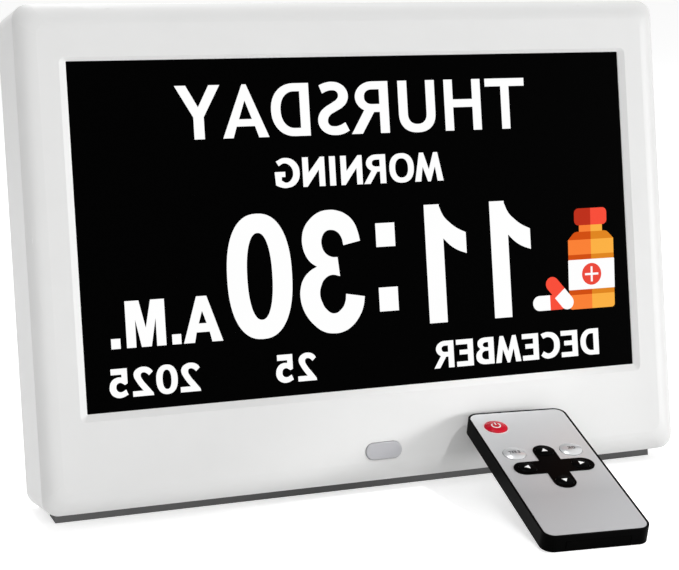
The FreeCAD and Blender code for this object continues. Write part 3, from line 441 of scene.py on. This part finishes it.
CURVED_LETTERS = {
    "C": [[(0.985, 0.94), (0.86, 0.765), (0.6, 0.815, 1), (0.37, 0.71, 1), (0.3, 0.52, 1), (0.37, 0.3, 1),
           (0.59, 0.195, 1), (0.86, 0.285), (1, 0.13), (0.82, 0.03, 1), (0.57, 0, 1), (0.17, 0.14, 1),
           (0, 0.52, 1), (0.17, 0.88, 1), (0.57, 1.005, 1), (0.82, 0.985, 1)]],
    "G": [[(0.93, 0.895), (0.825, 0.735), (0.6, 0.825, 1), (0.36, 0.72, 1), (0.265, 0.525, 1),
           (0.34, 0.28, 1), (0.54, 0.17, 1), (0.735, 0.245), (0.725, 0.365), (0.58, 0.365), (0.58, 0.54),
           (1, 0.54), (0.97, 0.095), (0.77, 0.02, 1), (0.52, -0.005, 1), (0.16, 0.125, 1), (0, 0.48, 1),
           (0.17, 0.87, 1), (0.6, 1.005, 1)]],
    "S": [[(0.924, 0.949), (0.829, 0.791), (0.67, 0.835, 1), (0.512, 0.85, 1), (0.369, 0.822, 1),
           (0.318, 0.751, 1), (0.369, 0.679, 1), (0.52, 0.613, 1), (0.757, 0.527, 1), (0.924, 0.425, 1),
           (0.995, 0.277, 1), (0.924, 0.13, 1), (0.734, 0.028, 1), (0.464, -0.008, 1), (0.203, 0.013, 1),
           (0.005, 0.069), (0.132, 0.232), (0.29, 0.181, 1), (0.48, 0.16, 1), (0.639, 0.191, 1),
           (0.686, 0.272, 1), (0.607, 0.374, 1), (0.448, 0.435, 1), (0.195, 0.522, 1), (0.06, 0.613, 1),
           (0.005, 0.73, 1), (0.06, 0.863, 1), (0.242, 0.969, 1), (0.496, 1.01, 1), (0.718, 0.995, 1)]],
    "2": [[(0, 0), (0.02, 0.085), (0.25, 0.305, 1), (0.48, 0.525, 1), (0.59, 0.7, 1), (0.55, 0.785, 1),
           (0.43, 0.81, 1), (0.3, 0.77, 1), (0.19, 0.695), (0, 0.82), (0.12, 0.925, 1), (0.38, 1, 1),
           (0.7, 0.965, 1), (0.9, 0.835, 1), (0.92, 0.69, 1), (0.82, 0.525, 1), (0.67, 0.35, 1),
           (0.49, 0.185), (1, 0.185), (1, 0)]],
    "5": [[(0.03, 1), (0.91, 1), (0.91, 0.795), (0.34, 0.795), (0.34, 0.7), (0.575, 0.7, 1),
           (0.86, 0.605, 1), (1, 0.4, 1), (0.95, 0.18, 1), (0.72, 0.035, 1), (0.4, 0, 1), (0.01, 0.09),
           (0.12, 0.27), (0.43, 0.195, 1), (0.6, 0.255, 1), (0.645, 0.375, 1), (0.575, 0.48, 1),
           (0.41, 0.515, 1), (0.27, 0.47, 1), (0.17, 0.43), (0.03, 0.48)]],
}


def bow(cu, cv, ru, rv, start=0.0, sweep=360.0, power=2.3, steps=24):
    """Points along an oval whose sides are a little straighter than an ellipse's."""
    count = steps if sweep >= 360 else steps + 1
    points = []
    for i in range(count):
        turn = math.radians(start + sweep * i / steps)
        c, s = math.cos(turn), math.sin(turn)
        points.append((cu + ru * math.copysign(abs(c) ** (2 / power), c),
                       cv + rv * math.copysign(abs(s) ** (2 / power), s)))
    return points


def letter_b(w, h, stem, bar):
    lower = bow(0.45 * w, 0.3 * h, 0.55 * w, 0.3 * h, -90, 145)
    upper = bow(0.42 * w, 0.775 * h, 0.48 * w, 0.225 * h, -45, 135)
    outline = [(0, 0)] + lower + [(0.775 * w, 0.575 * h)] + upper + [(0, h)]
    low_bow = bow(0.42 * w, 0.34 * h, 0.26 * w, 0.34 * h - bar, -90, 180)
    low_hole = [(stem, bar)] + low_bow + [(stem, 0.68 * h - bar)]
    half = (0.37 * h - bar) / 2
    high_bow = bow(0.4 * w, 0.63 * h + half, 0.21 * w, half, -90, 180)
    high_hole = [(stem, 0.63 * h)] + high_bow + [(stem, h - bar)]
    return [outline, low_hole, high_hole]


def letter_d(w, h, stem, bar):
    straight = 0.4 * w
    return [[(0, 0)] + bow(straight, h / 2, w - straight, h / 2, -90, 180, 2.15) + [(0, h)],
            [(stem, bar)] + bow(straight, h / 2, w - straight - stem, h / 2 - bar, -90, 180, 2.15)
            + [(stem, h - bar)]]


def letter_r(w, h, stem, bar):
    straight, waist = 0.42 * w, 0.41 * h
    reach, middle = 0.875 * w - straight, (h + waist) / 2
    leg = [(0, 0), (stem, 0), (stem, waist), (0.39 * w, waist), (0.715 * w, 0), (w, 0)]
    bowl = bow(straight, middle, reach, h - middle, -60, 150, 2.0)
    hole = bow(straight, middle, reach - stem, h - middle - bar, -90, 180)
    return [leg + bowl + [(0, h)], [(stem, waist + bar)] + hole + [(stem, h - bar)]]


def letter_u(w, h, stem, bar):
    turn = 0.36 * h
    outer = bow(w / 2, turn, w / 2, turn + 0.01 * h, 180, 180)
    inner = bow(w / 2, turn, w / 2 - stem, turn - bar, 180, 180)
    return [[(0, h)] + outer + [(w, h), (w - stem, h)] + inner[::-1] + [(stem, h)]]


def letter_o(w, h, stem, bar):
    return [bow(w / 2, h / 2, w / 2, 0.51 * h, steps=48),
            bow(w / 2, h / 2, w / 2 - stem, 0.51 * h - bar, steps=48)]


ROUND_LETTERS = {"B": letter_b, "D": letter_d, "O": letter_o, "0": letter_o, "R": letter_r, "U": letter_u}


def letter(character, w, h, stem, bar):
    """Mesh of one letter or figure with upright strokes stem wide and level strokes bar high."""
    if character in ROUND_LETTERS:
        return relief(ROUND_LETTERS[character](w, h, stem, bar), TEXT_LOW, TEXT_HIGH)
    curved = character in CURVED_LETTERS
    loops = CURVED_LETTERS[character] if curved else STRAIGHT_LETTERS[character]
    scaled = [[(u * w, v * h, *rest) for u, v, *rest in loop] for loop in loops]
    return relief(scaled, TEXT_LOW, TEXT_HIGH, curved)


def word(text, places, low, high, stem, bar, material=SCREEN_WHITE):
    """Mirrored word, from low to high: its letters, from first to last, fill the given stretches."""
    parts = []
    for character, (left, right) in zip(text, places):
        mesh = letter(character, right - left, high - low, stem, bar)
        parts.append((fitted(mesh, right, low), material))
    return merged(parts)


def fitted(mesh, right, low):
    """Mirrors a readable shape that starts at u = 0, so that it ends at the right and stands on low."""
    mirror(mesh)
    mesh.transform(Matrix.Translation((right, low, 0)))
    return mesh


def big_one(w, h, stem):
    """Figure 1 with a curved flag; its stem is at the right."""
    inner = w - stem
    return [[(w, 0), (w, h), (inner + 1.2, h), (inner + 1.15, h - 0.9), (inner - 0.6, h - 4.7, 1),
             (0.68 * inner, h - 7.3, 1), (0.38 * inner, h - 9.5, 1), (0, h - 11.3), (0, h - 19.4),
             (0.38 * inner, h - 18.0, 1), (0.68 * inner, h - 16.2, 1), (inner, h - 13.2), (inner, 0)]]


def big_zero(w, h, stem, bar):
    return [bow(w / 2, h / 2, w / 2, h / 2, steps=64, power=2.35),
            bow(w / 2, h / 2, w / 2 - stem, h / 2 - bar, steps=64, power=2.25)]


def big_three(w, h):
    """Figure 3, its two bowls open to the left."""
    points = [
        (0.027, 0.737), (0.06, 0.822, 1), (0.116, 0.895, 1), (0.223, 0.956, 1), (0.362, 0.991, 1),
        (0.5, 1.0, 1), (0.651, 0.984, 1), (0.79, 0.933, 1), (0.886, 0.864, 1), (0.925, 0.79, 1),
        (0.925, 0.722, 1), (0.886, 0.645, 1), (0.809, 0.583, 1), (0.72, 0.548), (0.836, 0.514, 1),
        (0.94, 0.452, 1), (0.988, 0.383, 1), (1.0, 0.314, 1), (0.975, 0.229, 1), (0.905, 0.145, 1),
        (0.8, 0.074, 1), (0.667, 0.02, 1), (0.513, 0.0, 1), (0.362, 0.008, 1), (0.223, 0.048, 1),
        (0.1, 0.122, 1), (0.031, 0.199, 1), (0.0, 0.283), (0.291, 0.313), (0.308, 0.253, 1),
        (0.362, 0.199, 1), (0.493, 0.161, 1), (0.609, 0.199, 1), (0.67, 0.26, 1), (0.695, 0.322, 1),
        (0.67, 0.391, 1), (0.609, 0.445, 1), (0.501, 0.474, 1), (0.37, 0.46), (0.393, 0.615),
        (0.486, 0.62, 1), (0.582, 0.656, 1), (0.63, 0.722, 1), (0.617, 0.783, 1), (0.555, 0.828, 1),
        (0.472, 0.838, 1), (0.376, 0.818, 1), (0.314, 0.768, 1), (0.293, 0.708)]
    return [[(u * w, v * h, *rest) for u, v, *rest in points]]


def heavy_a(w, h):
    """Capital A with heavy legs."""
    return [[(0, 0), (0.278 * w, 0), (0.334 * w, 0.22 * h), (0.666 * w, 0.22 * h), (0.722 * w, 0), (w, 0),
             (0.63 * w, h), (0.37 * w, h)],
            [(0.4 * w, 0.41 * h), (0.6 * w, 0.41 * h), (w / 2, 0.68 * h)]]


def heavy_m(w, h):
    """Capital M with upright heavy legs."""
    return [[(0, 0), (0, h), (0.352 * w, h), (w / 2, 0.405 * h), (0.648 * w, h), (w, h), (w, 0),
             (0.763 * w, 0), (0.76 * w, 0.6 * h), (0.625 * w, 0), (0.375 * w, 0), (0.24 * w, 0.6 * h),
             (0.237 * w, 0)]]


def box_loop(u0, v0, u1, v1):
    return [(u0, v0), (u1, v0), (u1, v1), (u0, v1)]


# ---------------------------------------------------------------- the picture on the screen
glass_low, glass_high = span("lcd_glass", FRONT)
glass_middle = (glass_low + glass_high) / 2
SCREEN_ORIGIN = FRONT @ Vector((glass_middle.x, glass_middle.y, glass_high.z))


def show(name, mesh):
    return place(name, mesh, FRONT, SCREEN_ORIGIN, "root", "screen_glass")


def show_words():
    day = ((52.1, 69.0), (34.6, 50.0), (15.4, 30.6), (-4.2, 11.3), (-17.5, -5.0), (-35.8, -20.7),
           (-54.8, -37.0), (-72.3, -55.2))
    show("day_name", word("THURSDAY", day, low=33.5, high=53.1, stem=3.7, bar=3.0))
    part = ((20.6, 32.5), (10.2, 20.3), (-0.4, 8.7), (-9.6, -0.9), (-14.1, -11.7), (-24.8, -16.0),
            (-35.8, -26.0))
    show("part_of_day", word("MORNING", part, low=14.5, high=25.5, stem=2.4, bar=1.95))
    month = ((88.2, 96.4), (79.5, 86.9), (70.5, 78.9), (62.35, 69.5), (50.7, 61.65), (42.3, 50.0),
             (33.9, 41.1), (24.3, 32.8))
    show("month_name", word("DECEMBER", month, low=-57.5, high=-47.1, stem=2.35, bar=1.85))
    number = ((-31.2, -23.8), (-39.7, -32.9))
    show("day_number", word("25", number, low=-57.7, high=-47.2, stem=2.35, bar=1.85))
    year = ((-76.5, -68.9), (-85.4, -77.4), (-94.2, -86.5), (-102.6, -95.8))
    show("year_number", word("2025", year, low=-57.8, high=-47.3, stem=2.35, bar=1.85))


def show_time():
    low, high = -40.0, 5.5
    stem = 7.5
    parts = []
    for left, right in ((51.25, 68.4), (23.5, 40.6)):
        one = relief(big_one(right - left, high - low, stem), TEXT_LOW, TEXT_HIGH, True)
        parts.append((fitted(one, right, low), SCREEN_WHITE))
    colon = [box_loop(3.1, -9.5, 10.9, -0.5), box_loop(3.1, -34.0, 10.9, -24.9)]
    parts.append((relief(colon, TEXT_LOW, TEXT_HIGH), SCREEN_WHITE))
    over = 0.8                      # round figures reach a little lower
    three = relief(big_three(w=25.75, h=high - low + over), TEXT_LOW, TEXT_HIGH, True)
    parts.append((fitted(three, right=-2.75, low=low - over), SCREEN_WHITE))
    zero = relief(big_zero(w=25.2, h=high - low + over, stem=7.7, bar=7.1), TEXT_LOW, TEXT_HIGH)
    parts.append((fitted(zero, right=-31.3, low=low - over), SCREEN_WHITE))
    show("time_figures", merged(parts))


def show_half_of_day():
    low, height = -40.2, 16.85
    stop_w, stop_h = 3.4, 3.65
    mesh_a = fitted(relief(heavy_a(14.9, height), TEXT_LOW, TEXT_HIGH), right=-59.35, low=low)
    mesh_m = fitted(relief(heavy_m(14.6, height), TEXT_LOW, TEXT_HIGH), right=-80.8, low=low)
    stops = relief([box_loop(u, low, u + stop_w, low + stop_h) for u in (-101.1, -78.55)],
                   TEXT_LOW, TEXT_HIGH)
    show("am_mark", merged([(mesh_a, SCREEN_WHITE), (mesh_m, SCREEN_WHITE), (stops, SCREEN_WHITE)]))


def show_medicine_sign():
    """Generic medicine bottle with two capsules beside it, each half of the bottle in its own tone."""
    middle = 95.2
    half = 10.2
    foot, shoulder, neck_low, neck_high, top = -39.0, -11.5, -8.35, -5.8, 0.9
    cap_half, neck_half, collar_half = 7.3, 5.2, 7.0
    label_low, label_high, band = -31.3, -19.4, 2.0
    lean = 0.03                     # sideways for each mm upwards
    over = 0.05                     # the neck reaches so far behind the cap and the body
    parts = []

    def add(loop, level, material):
        parts.append((relief([loop], TEXT_LOW + level * LAYER, TEXT_HIGH + level * LAYER), material))

    def halves(loop_of, dark, light, level):
        add(loop_of(-1), level, dark)
        add(loop_of(1), level, light)

    def collar(side):
        return [(middle + side * u, v) for u, v in
                ((half, shoulder), (collar_half + 0.9, neck_low - 0.75), (collar_half + 0.1, neck_low - 0.2),
                 (collar_half - 0.9, neck_low), (0, neck_low))]

    def body(side):
        r = 1.3
        corner = [(u * side + middle, v) for u, v in circle(half - r, foot + r, r, 5, -90, 90)]
        return [(middle, foot)] + corner + collar(side)

    def upright(side, width, low, high, r=0.0):
        if r == 0:
            edge = middle + side * width
            return [(middle, low), (edge, low), (edge, high), (middle, high)]
        lower = [(middle + side * u, v) for u, v in circle(width - r, low + r, r, 5, -90, 90)]
        upper = [(middle + side * u, v) for u, v in circle(width - r, high - r, r, 5, 0, 90)]
        return [(middle, low)] + lower + upper + [(middle, high)]

    halves(body, AMBER_DARK, AMBER_LIGHT, 0)
    halves(lambda side: [(middle, shoulder)] + collar(side), BAND_DARK, BAND_LIGHT, 1)
    halves(lambda side: upright(side, neck_half, neck_low - over, neck_high + over),
           AMBER_DARK, AMBER_LIGHT, 2)
    halves(lambda side: upright(side, cap_half, neck_high, top, 1.9), CAP_DARK, CAP_LIGHT, 3)
    for low, high in ((label_low - band, label_low), (label_high, label_high + band)):
        halves(lambda side: upright(side, half, low, high), BAND_DARK, BAND_LIGHT, 1)
    label_half = half + 0.15
    label = rounded_box(middle - label_half, label_low, middle + label_half, label_high, 0.3)
    add(label, 2, SCREEN_WHITE)
    sign_v = (label_low + label_high) / 2
    disc_r, arm, thick = 4.35, 3.0, 0.42
    add(circle(middle, sign_v, disc_r), 3, SIGN_RED)
    plus = [(-thick, -arm), (thick, -arm), (thick, -thick), (arm, -thick), (arm, thick), (thick, thick),
            (thick, arm), (-thick, arm), (-thick, thick), (-arm, thick), (-arm, -thick), (-thick, -thick)]
    add([(middle + u, sign_v + v) for u, v in plus], 4, SCREEN_WHITE)
    shear = Matrix.Identity(4)
    shear[0][1] = lean
    shear[0][3] = -lean * shoulder
    for mesh, material in parts:
        mesh.transform(shear)
    parts.extend(capsule(71.05, -35.6, turn=0.0, length=9.3, r=2.95,
                         first=SCREEN_WHITE, second=CAP_LIGHT, level=0))
    parts.extend(capsule(77.0, -28.4, turn=-50.5, length=9.6, r=2.9,
                         first=CAP_LIGHT, second=SCREEN_WHITE, level=5))
    show("medicine_sign", merged(parts))


def capsule(u, v, turn, length, r, first, second, level):
    """Two-coloured capsule that starts at (u, v) and points along turn degrees."""
    low, high = TEXT_LOW + level * LAYER, TEXT_HIGH + level * LAYER
    ends = ((circle(0, 0, r, 14, 90, 180) + [(length / 2, -r), (length / 2, r)], first),
            (circle(length, 0, r, 14, -90, 180) + [(length / 2, r), (length / 2, -r)], second))
    spin = Matrix.Translation((u, v, 0)) @ Matrix.Rotation(math.radians(turn), 4, "Z")
    made = []
    for loop, material in ends:
        mesh = relief([loop], low, high)
        mesh.transform(spin)
        made.append((mesh, material))
    return made


show_words()
show_time()
show_half_of_day()
show_medicine_sign()


# ---------------------------------------------------------------- symbols on the keys
PRINT_LOW, PRINT_HIGH = 0.005, 0.03     # a print on a flat face, in mm over that face
DOME_LIFT = 0.01                        # a print on a dome is raised by so much more
EDGE_MAX = 0.5                          # and cut where its edges are longer than this
CUT_ROUNDS = 3


def drape(mesh, radius):
    """Lets a flat shape, cut into short edges, follow a dome whose top is at w = 0."""
    cut = bmesh.new()
    cut.from_mesh(mesh)
    for _ in range(CUT_ROUNDS):
        bmesh.ops.triangulate(cut, faces=cut.faces[:])
        long_edges = [edge for edge in cut.edges if edge.calc_length() > EDGE_MAX]
        bmesh.ops.subdivide_edges(cut, edges=long_edges, cuts=1)
    bmesh.ops.triangulate(cut, faces=cut.faces[:])
    cut.to_mesh(mesh)
    cut.free()
    for vertex in mesh.vertices:
        sag = radius - math.sqrt(max(radius ** 2 - vertex.co.x ** 2 - vertex.co.y ** 2, 0))
        vertex.co.z += DOME_LIFT - sag
    return mesh


def arc_band(r_in, r_out, start, sweep):
    """Outline of a ring's stretch."""
    outer = circle(0, 0, r_out, 28, start, sweep)
    inner = circle(0, 0, r_in, 28, start + sweep, -sweep)
    return outer + inner


def power_sign(size, line):
    """Open ring with an upright bar."""
    half_gap = 38                           # degrees to each side of the bar
    bar_low, bar_high = 0.1 * size, 1.25 * size
    ring = arc_band(size - line / 2, size + line / 2, 90 + half_gap, 360 - 2 * half_gap)
    bar = box_loop(-line / 2, bar_low, line / 2, bar_high)
    return [ring], [bar]


def triangle(size, turn):
    """Arrow head that points up before it is turned."""
    points = [(size * math.cos(math.radians(a)), size * math.sin(math.radians(a))) for a in (90, 210, 330)]
    c, s = math.cos(math.radians(turn)), math.sin(math.radians(turn))
    return [[(u * c - v * s, u * s + v * c) for u, v in points]]


def dome_radius(r, height):
    return (r ** 2 + height ** 2) / (2 * height)


# Tops of the remote's keys, as in the CAD model.
ROUND_KEY_DOME = 0.65                   # height of a round key's dome over its rim
POWER_KEY_R, SILVER_KEY_R = 4.4, 4.3
ARROW_DOME_R = 14.0                     # of the sphere that rounds an arrow key


def remote_signs():
    arrow = 1.35
    ring, bar = power_sign(size=1.65, line=0.5)
    parts = [(relief(loops, 0, PRINT_HIGH), PRINT_WHITE) for loops in (ring, bar)]
    mesh = drape(merged(parts), dome_radius(POWER_KEY_R, ROUND_KEY_DOME))
    place("remote_power_sign", mesh, REMOTE, top_centre("remote_key_power", REMOTE), "remote_key_power",
          "remote_red")
    for name, turn in (("up", 0), ("left", 90), ("down", 180), ("right", 270)):
        node = "remote_key_" + name
        mesh = merged([(relief(triangle(arrow, turn), 0, PRINT_HIGH), PRINT_WHITE)])
        mesh = drape(mesh, ARROW_DOME_R)
        place("remote_arrow_" + name, mesh, REMOTE, top_centre(node, REMOTE), node, "remote_gloss_black")
    labels = {"exit": ("EXIT", ((1.1, 2.1), (-0.35, 0.85), (-1.0, -0.6), (-2.3, -1.25))),
              "ok": ("OK", ((0.15, 1.6), (-1.4, -0.15)))}
    for name, (text, places) in labels.items():
        node = "remote_key_" + name
        mesh = word(text, places, low=-0.85, high=0.85, stem=0.38, bar=0.34, material=PRINT_BLACK)
        mesh.transform(Matrix.Translation((0, 0, -TEXT_LOW)))
        mesh = drape(mesh, dome_radius(SILVER_KEY_R, ROUND_KEY_DOME))
        place("remote_label_" + name, mesh, REMOTE, top_centre(node, REMOTE), node, "dome_silver")


def remote_power_ring():
    """Pale ring printed on the face round the power key."""
    hole_r, ring_w, ring_high = 4.55, 0.55, 0.04
    clear = 0.02                            # from the edge of the key's hole
    low, high = span("remote_key_power", REMOTE)
    face_high = span("remote_face", REMOTE)[1].z
    origin = REMOTE @ Vector(((low.x + high.x) / 2, (low.y + high.y) / 2, face_high))
    loops = [circle(0, 0, hole_r + ring_w, 48), circle(0, 0, hole_r + clear, 48)]
    mesh = merged([(relief(loops, PRINT_LOW, ring_high), RING_PINK)])
    place("remote_power_ring", mesh, REMOTE, origin, "remote", "remote_silver")


def rear_key_signs():
    """Signs printed on the rear keys."""
    reach, line, arrow = 1.5, 0.42, 1.6
    ring, bar = power_sign(size=1.3, line=line)

    def dash(v):
        return [box_loop(-reach, v - line / 2, reach, v + line / 2)]

    signs = {"key_power": [ring, bar],
             "key_menu": [dash(v) for v in (-1.0, 0.0, 1.0)],
             "key_up": [triangle(arrow, 0)],
             "key_ok": [[circle(0, 0, reach, 32), circle(0, 0, 1.05, 32)]],
             "key_down": [triangle(arrow, 180)],
             "key_exit": [dash(0), triangle(1.1, 90)]}
    for node, shapes in signs.items():
        mesh = merged([(relief(loops, PRINT_LOW, PRINT_HIGH), PRINT_WHITE) for loops in shapes])
        place(node + "_sign", mesh, REAR, top_centre(node, REAR), node, "key_grey")


remote_signs()
remote_power_ring()
rear_key_signs()


# ---------------------------------------------------------------- stage and light
AMBIENT = 0.42            # strength of the surroundings as a light
FLOOR_GLOW = 0.58         # light that the floor gives off where it is seen
FLOOR_HALF = 30.0
CLOCK_MIDDLE = Vector((0, 0, 0.09))
REMOTE_MIDDLE = top_centre("remote_face", REMOTE)


def seen(tree):
    """1 where a surface is seen, straight or in a reflection or through something clear, and else 0."""
    rays = tree.nodes.new("ShaderNodeLightPath")
    total = rays.outputs["Is Camera Ray"]
    for kind in ("Is Glossy Ray", "Is Transmission Ray"):
        either = tree.nodes.new("ShaderNodeMath")
        either.operation = "MAXIMUM"
        tree.links.new(total, either.inputs[0])
        tree.links.new(rays.outputs[kind], either.inputs[1])
        total = either.outputs["Value"]
    return total


def make_floor():
    """White floor that fills the view and keeps the object's shadow."""
    mesh = bpy.data.meshes.new("floor")
    corners = box_loop(-FLOOR_HALF, -FLOOR_HALF, FLOOR_HALF, FLOOR_HALF)
    mesh.from_pydata([(x, y, 0) for x, y in corners], [], [(0, 1, 2, 3)])
    floor = bpy.data.objects.new("floor", mesh)
    bpy.context.scene.collection.objects.link(floor)
    material, tree, shader = node_material("floor_white")
    shader.inputs["Base Color"].default_value = (0.88, 0.88, 0.88, 1)
    shader.inputs["Roughness"].default_value = 0.9
    shader.inputs["Specular IOR Level"].default_value = 0.0
    glow = tree.nodes.new("ShaderNodeMath")
    glow.operation = "MULTIPLY"
    glow.inputs[1].default_value = FLOOR_GLOW
    tree.links.new(seen(tree), glow.inputs[0])
    tree.links.new(glow.outputs["Value"], shader.inputs["Emission Strength"])
    shader.inputs["Emission Color"].default_value = (1, 1, 1, 1)
    mesh.materials.append(material)


def make_world():
    """Even white surroundings, brighter to the camera and in reflections than as a light."""
    world = bpy.data.worlds.new("world")
    bpy.context.scene.world = world
    world.use_nodes = True
    tree = world.node_tree
    background = tree.nodes["Background"]
    background.inputs["Color"].default_value = (1, 1, 1, 1)
    level = tree.nodes.new("ShaderNodeMapRange")
    level.inputs["To Min"].default_value = AMBIENT
    level.inputs["To Max"].default_value = 1.0
    tree.links.new(seen(tree), level.inputs["Value"])
    tree.links.new(level.outputs["Result"], background.inputs["Strength"])


def direction(right, up):
    """Unit vector at angles in degrees from straight ahead of the clock: to the right, then up."""
    turn, rise = math.radians(right), math.radians(up)
    return Vector((math.sin(turn) * math.cos(rise), -math.cos(turn) * math.cos(rise), math.sin(rise)))


def power_for(level, distance):
    """Watts with which a lamp lights a surface that faces it as much as surroundings of that strength."""
    return level * (math.pi * distance) ** 2


def lamp(name, right, up, distance, size, level):
    """Soft square lamp, aimed at the clock's middle."""
    data = bpy.data.lights.new(name, "AREA")
    data.size = size
    data.energy = power_for(level, distance)
    light = bpy.data.objects.new(name, data)
    aim(light, CLOCK_MIDDLE + direction(right, up) * distance, CLOCK_MIDDLE)


def aim(light, at, target):
    light.location = at
    light.rotation_mode = "QUATERNION"
    light.rotation_quaternion = (target - at).to_track_quat("-Z", "Y")
    bpy.context.scene.collection.objects.link(light)


def spot(name, right, up, distance, target, spread, level):
    """Narrow lamp on one place."""
    data = bpy.data.lights.new(name, "SPOT")
    data.spot_size = math.radians(spread)
    data.spot_blend = 0.6
    data.shadow_soft_size = 0.03
    data.energy = 4 * power_for(level, distance)      # its watts count for a whole sphere
    light = bpy.data.objects.new(name, data)
    aim(light, target + direction(right, up) * distance, target)


make_floor()
make_world()
lamp("key_lamp", right=50, up=0, distance=9.0, size=3.6, level=0.84)
lamp("fill_lamp", right=-25, up=2, distance=2.5, size=1.0, level=0.2)
lamp("top_lamp", right=180, up=66, distance=1.8, size=0.8, level=0.6)
spot("remote_lamp", right=50, up=56, distance=0.8, target=REMOTE_MIDDLE, spread=12, level=0.4)
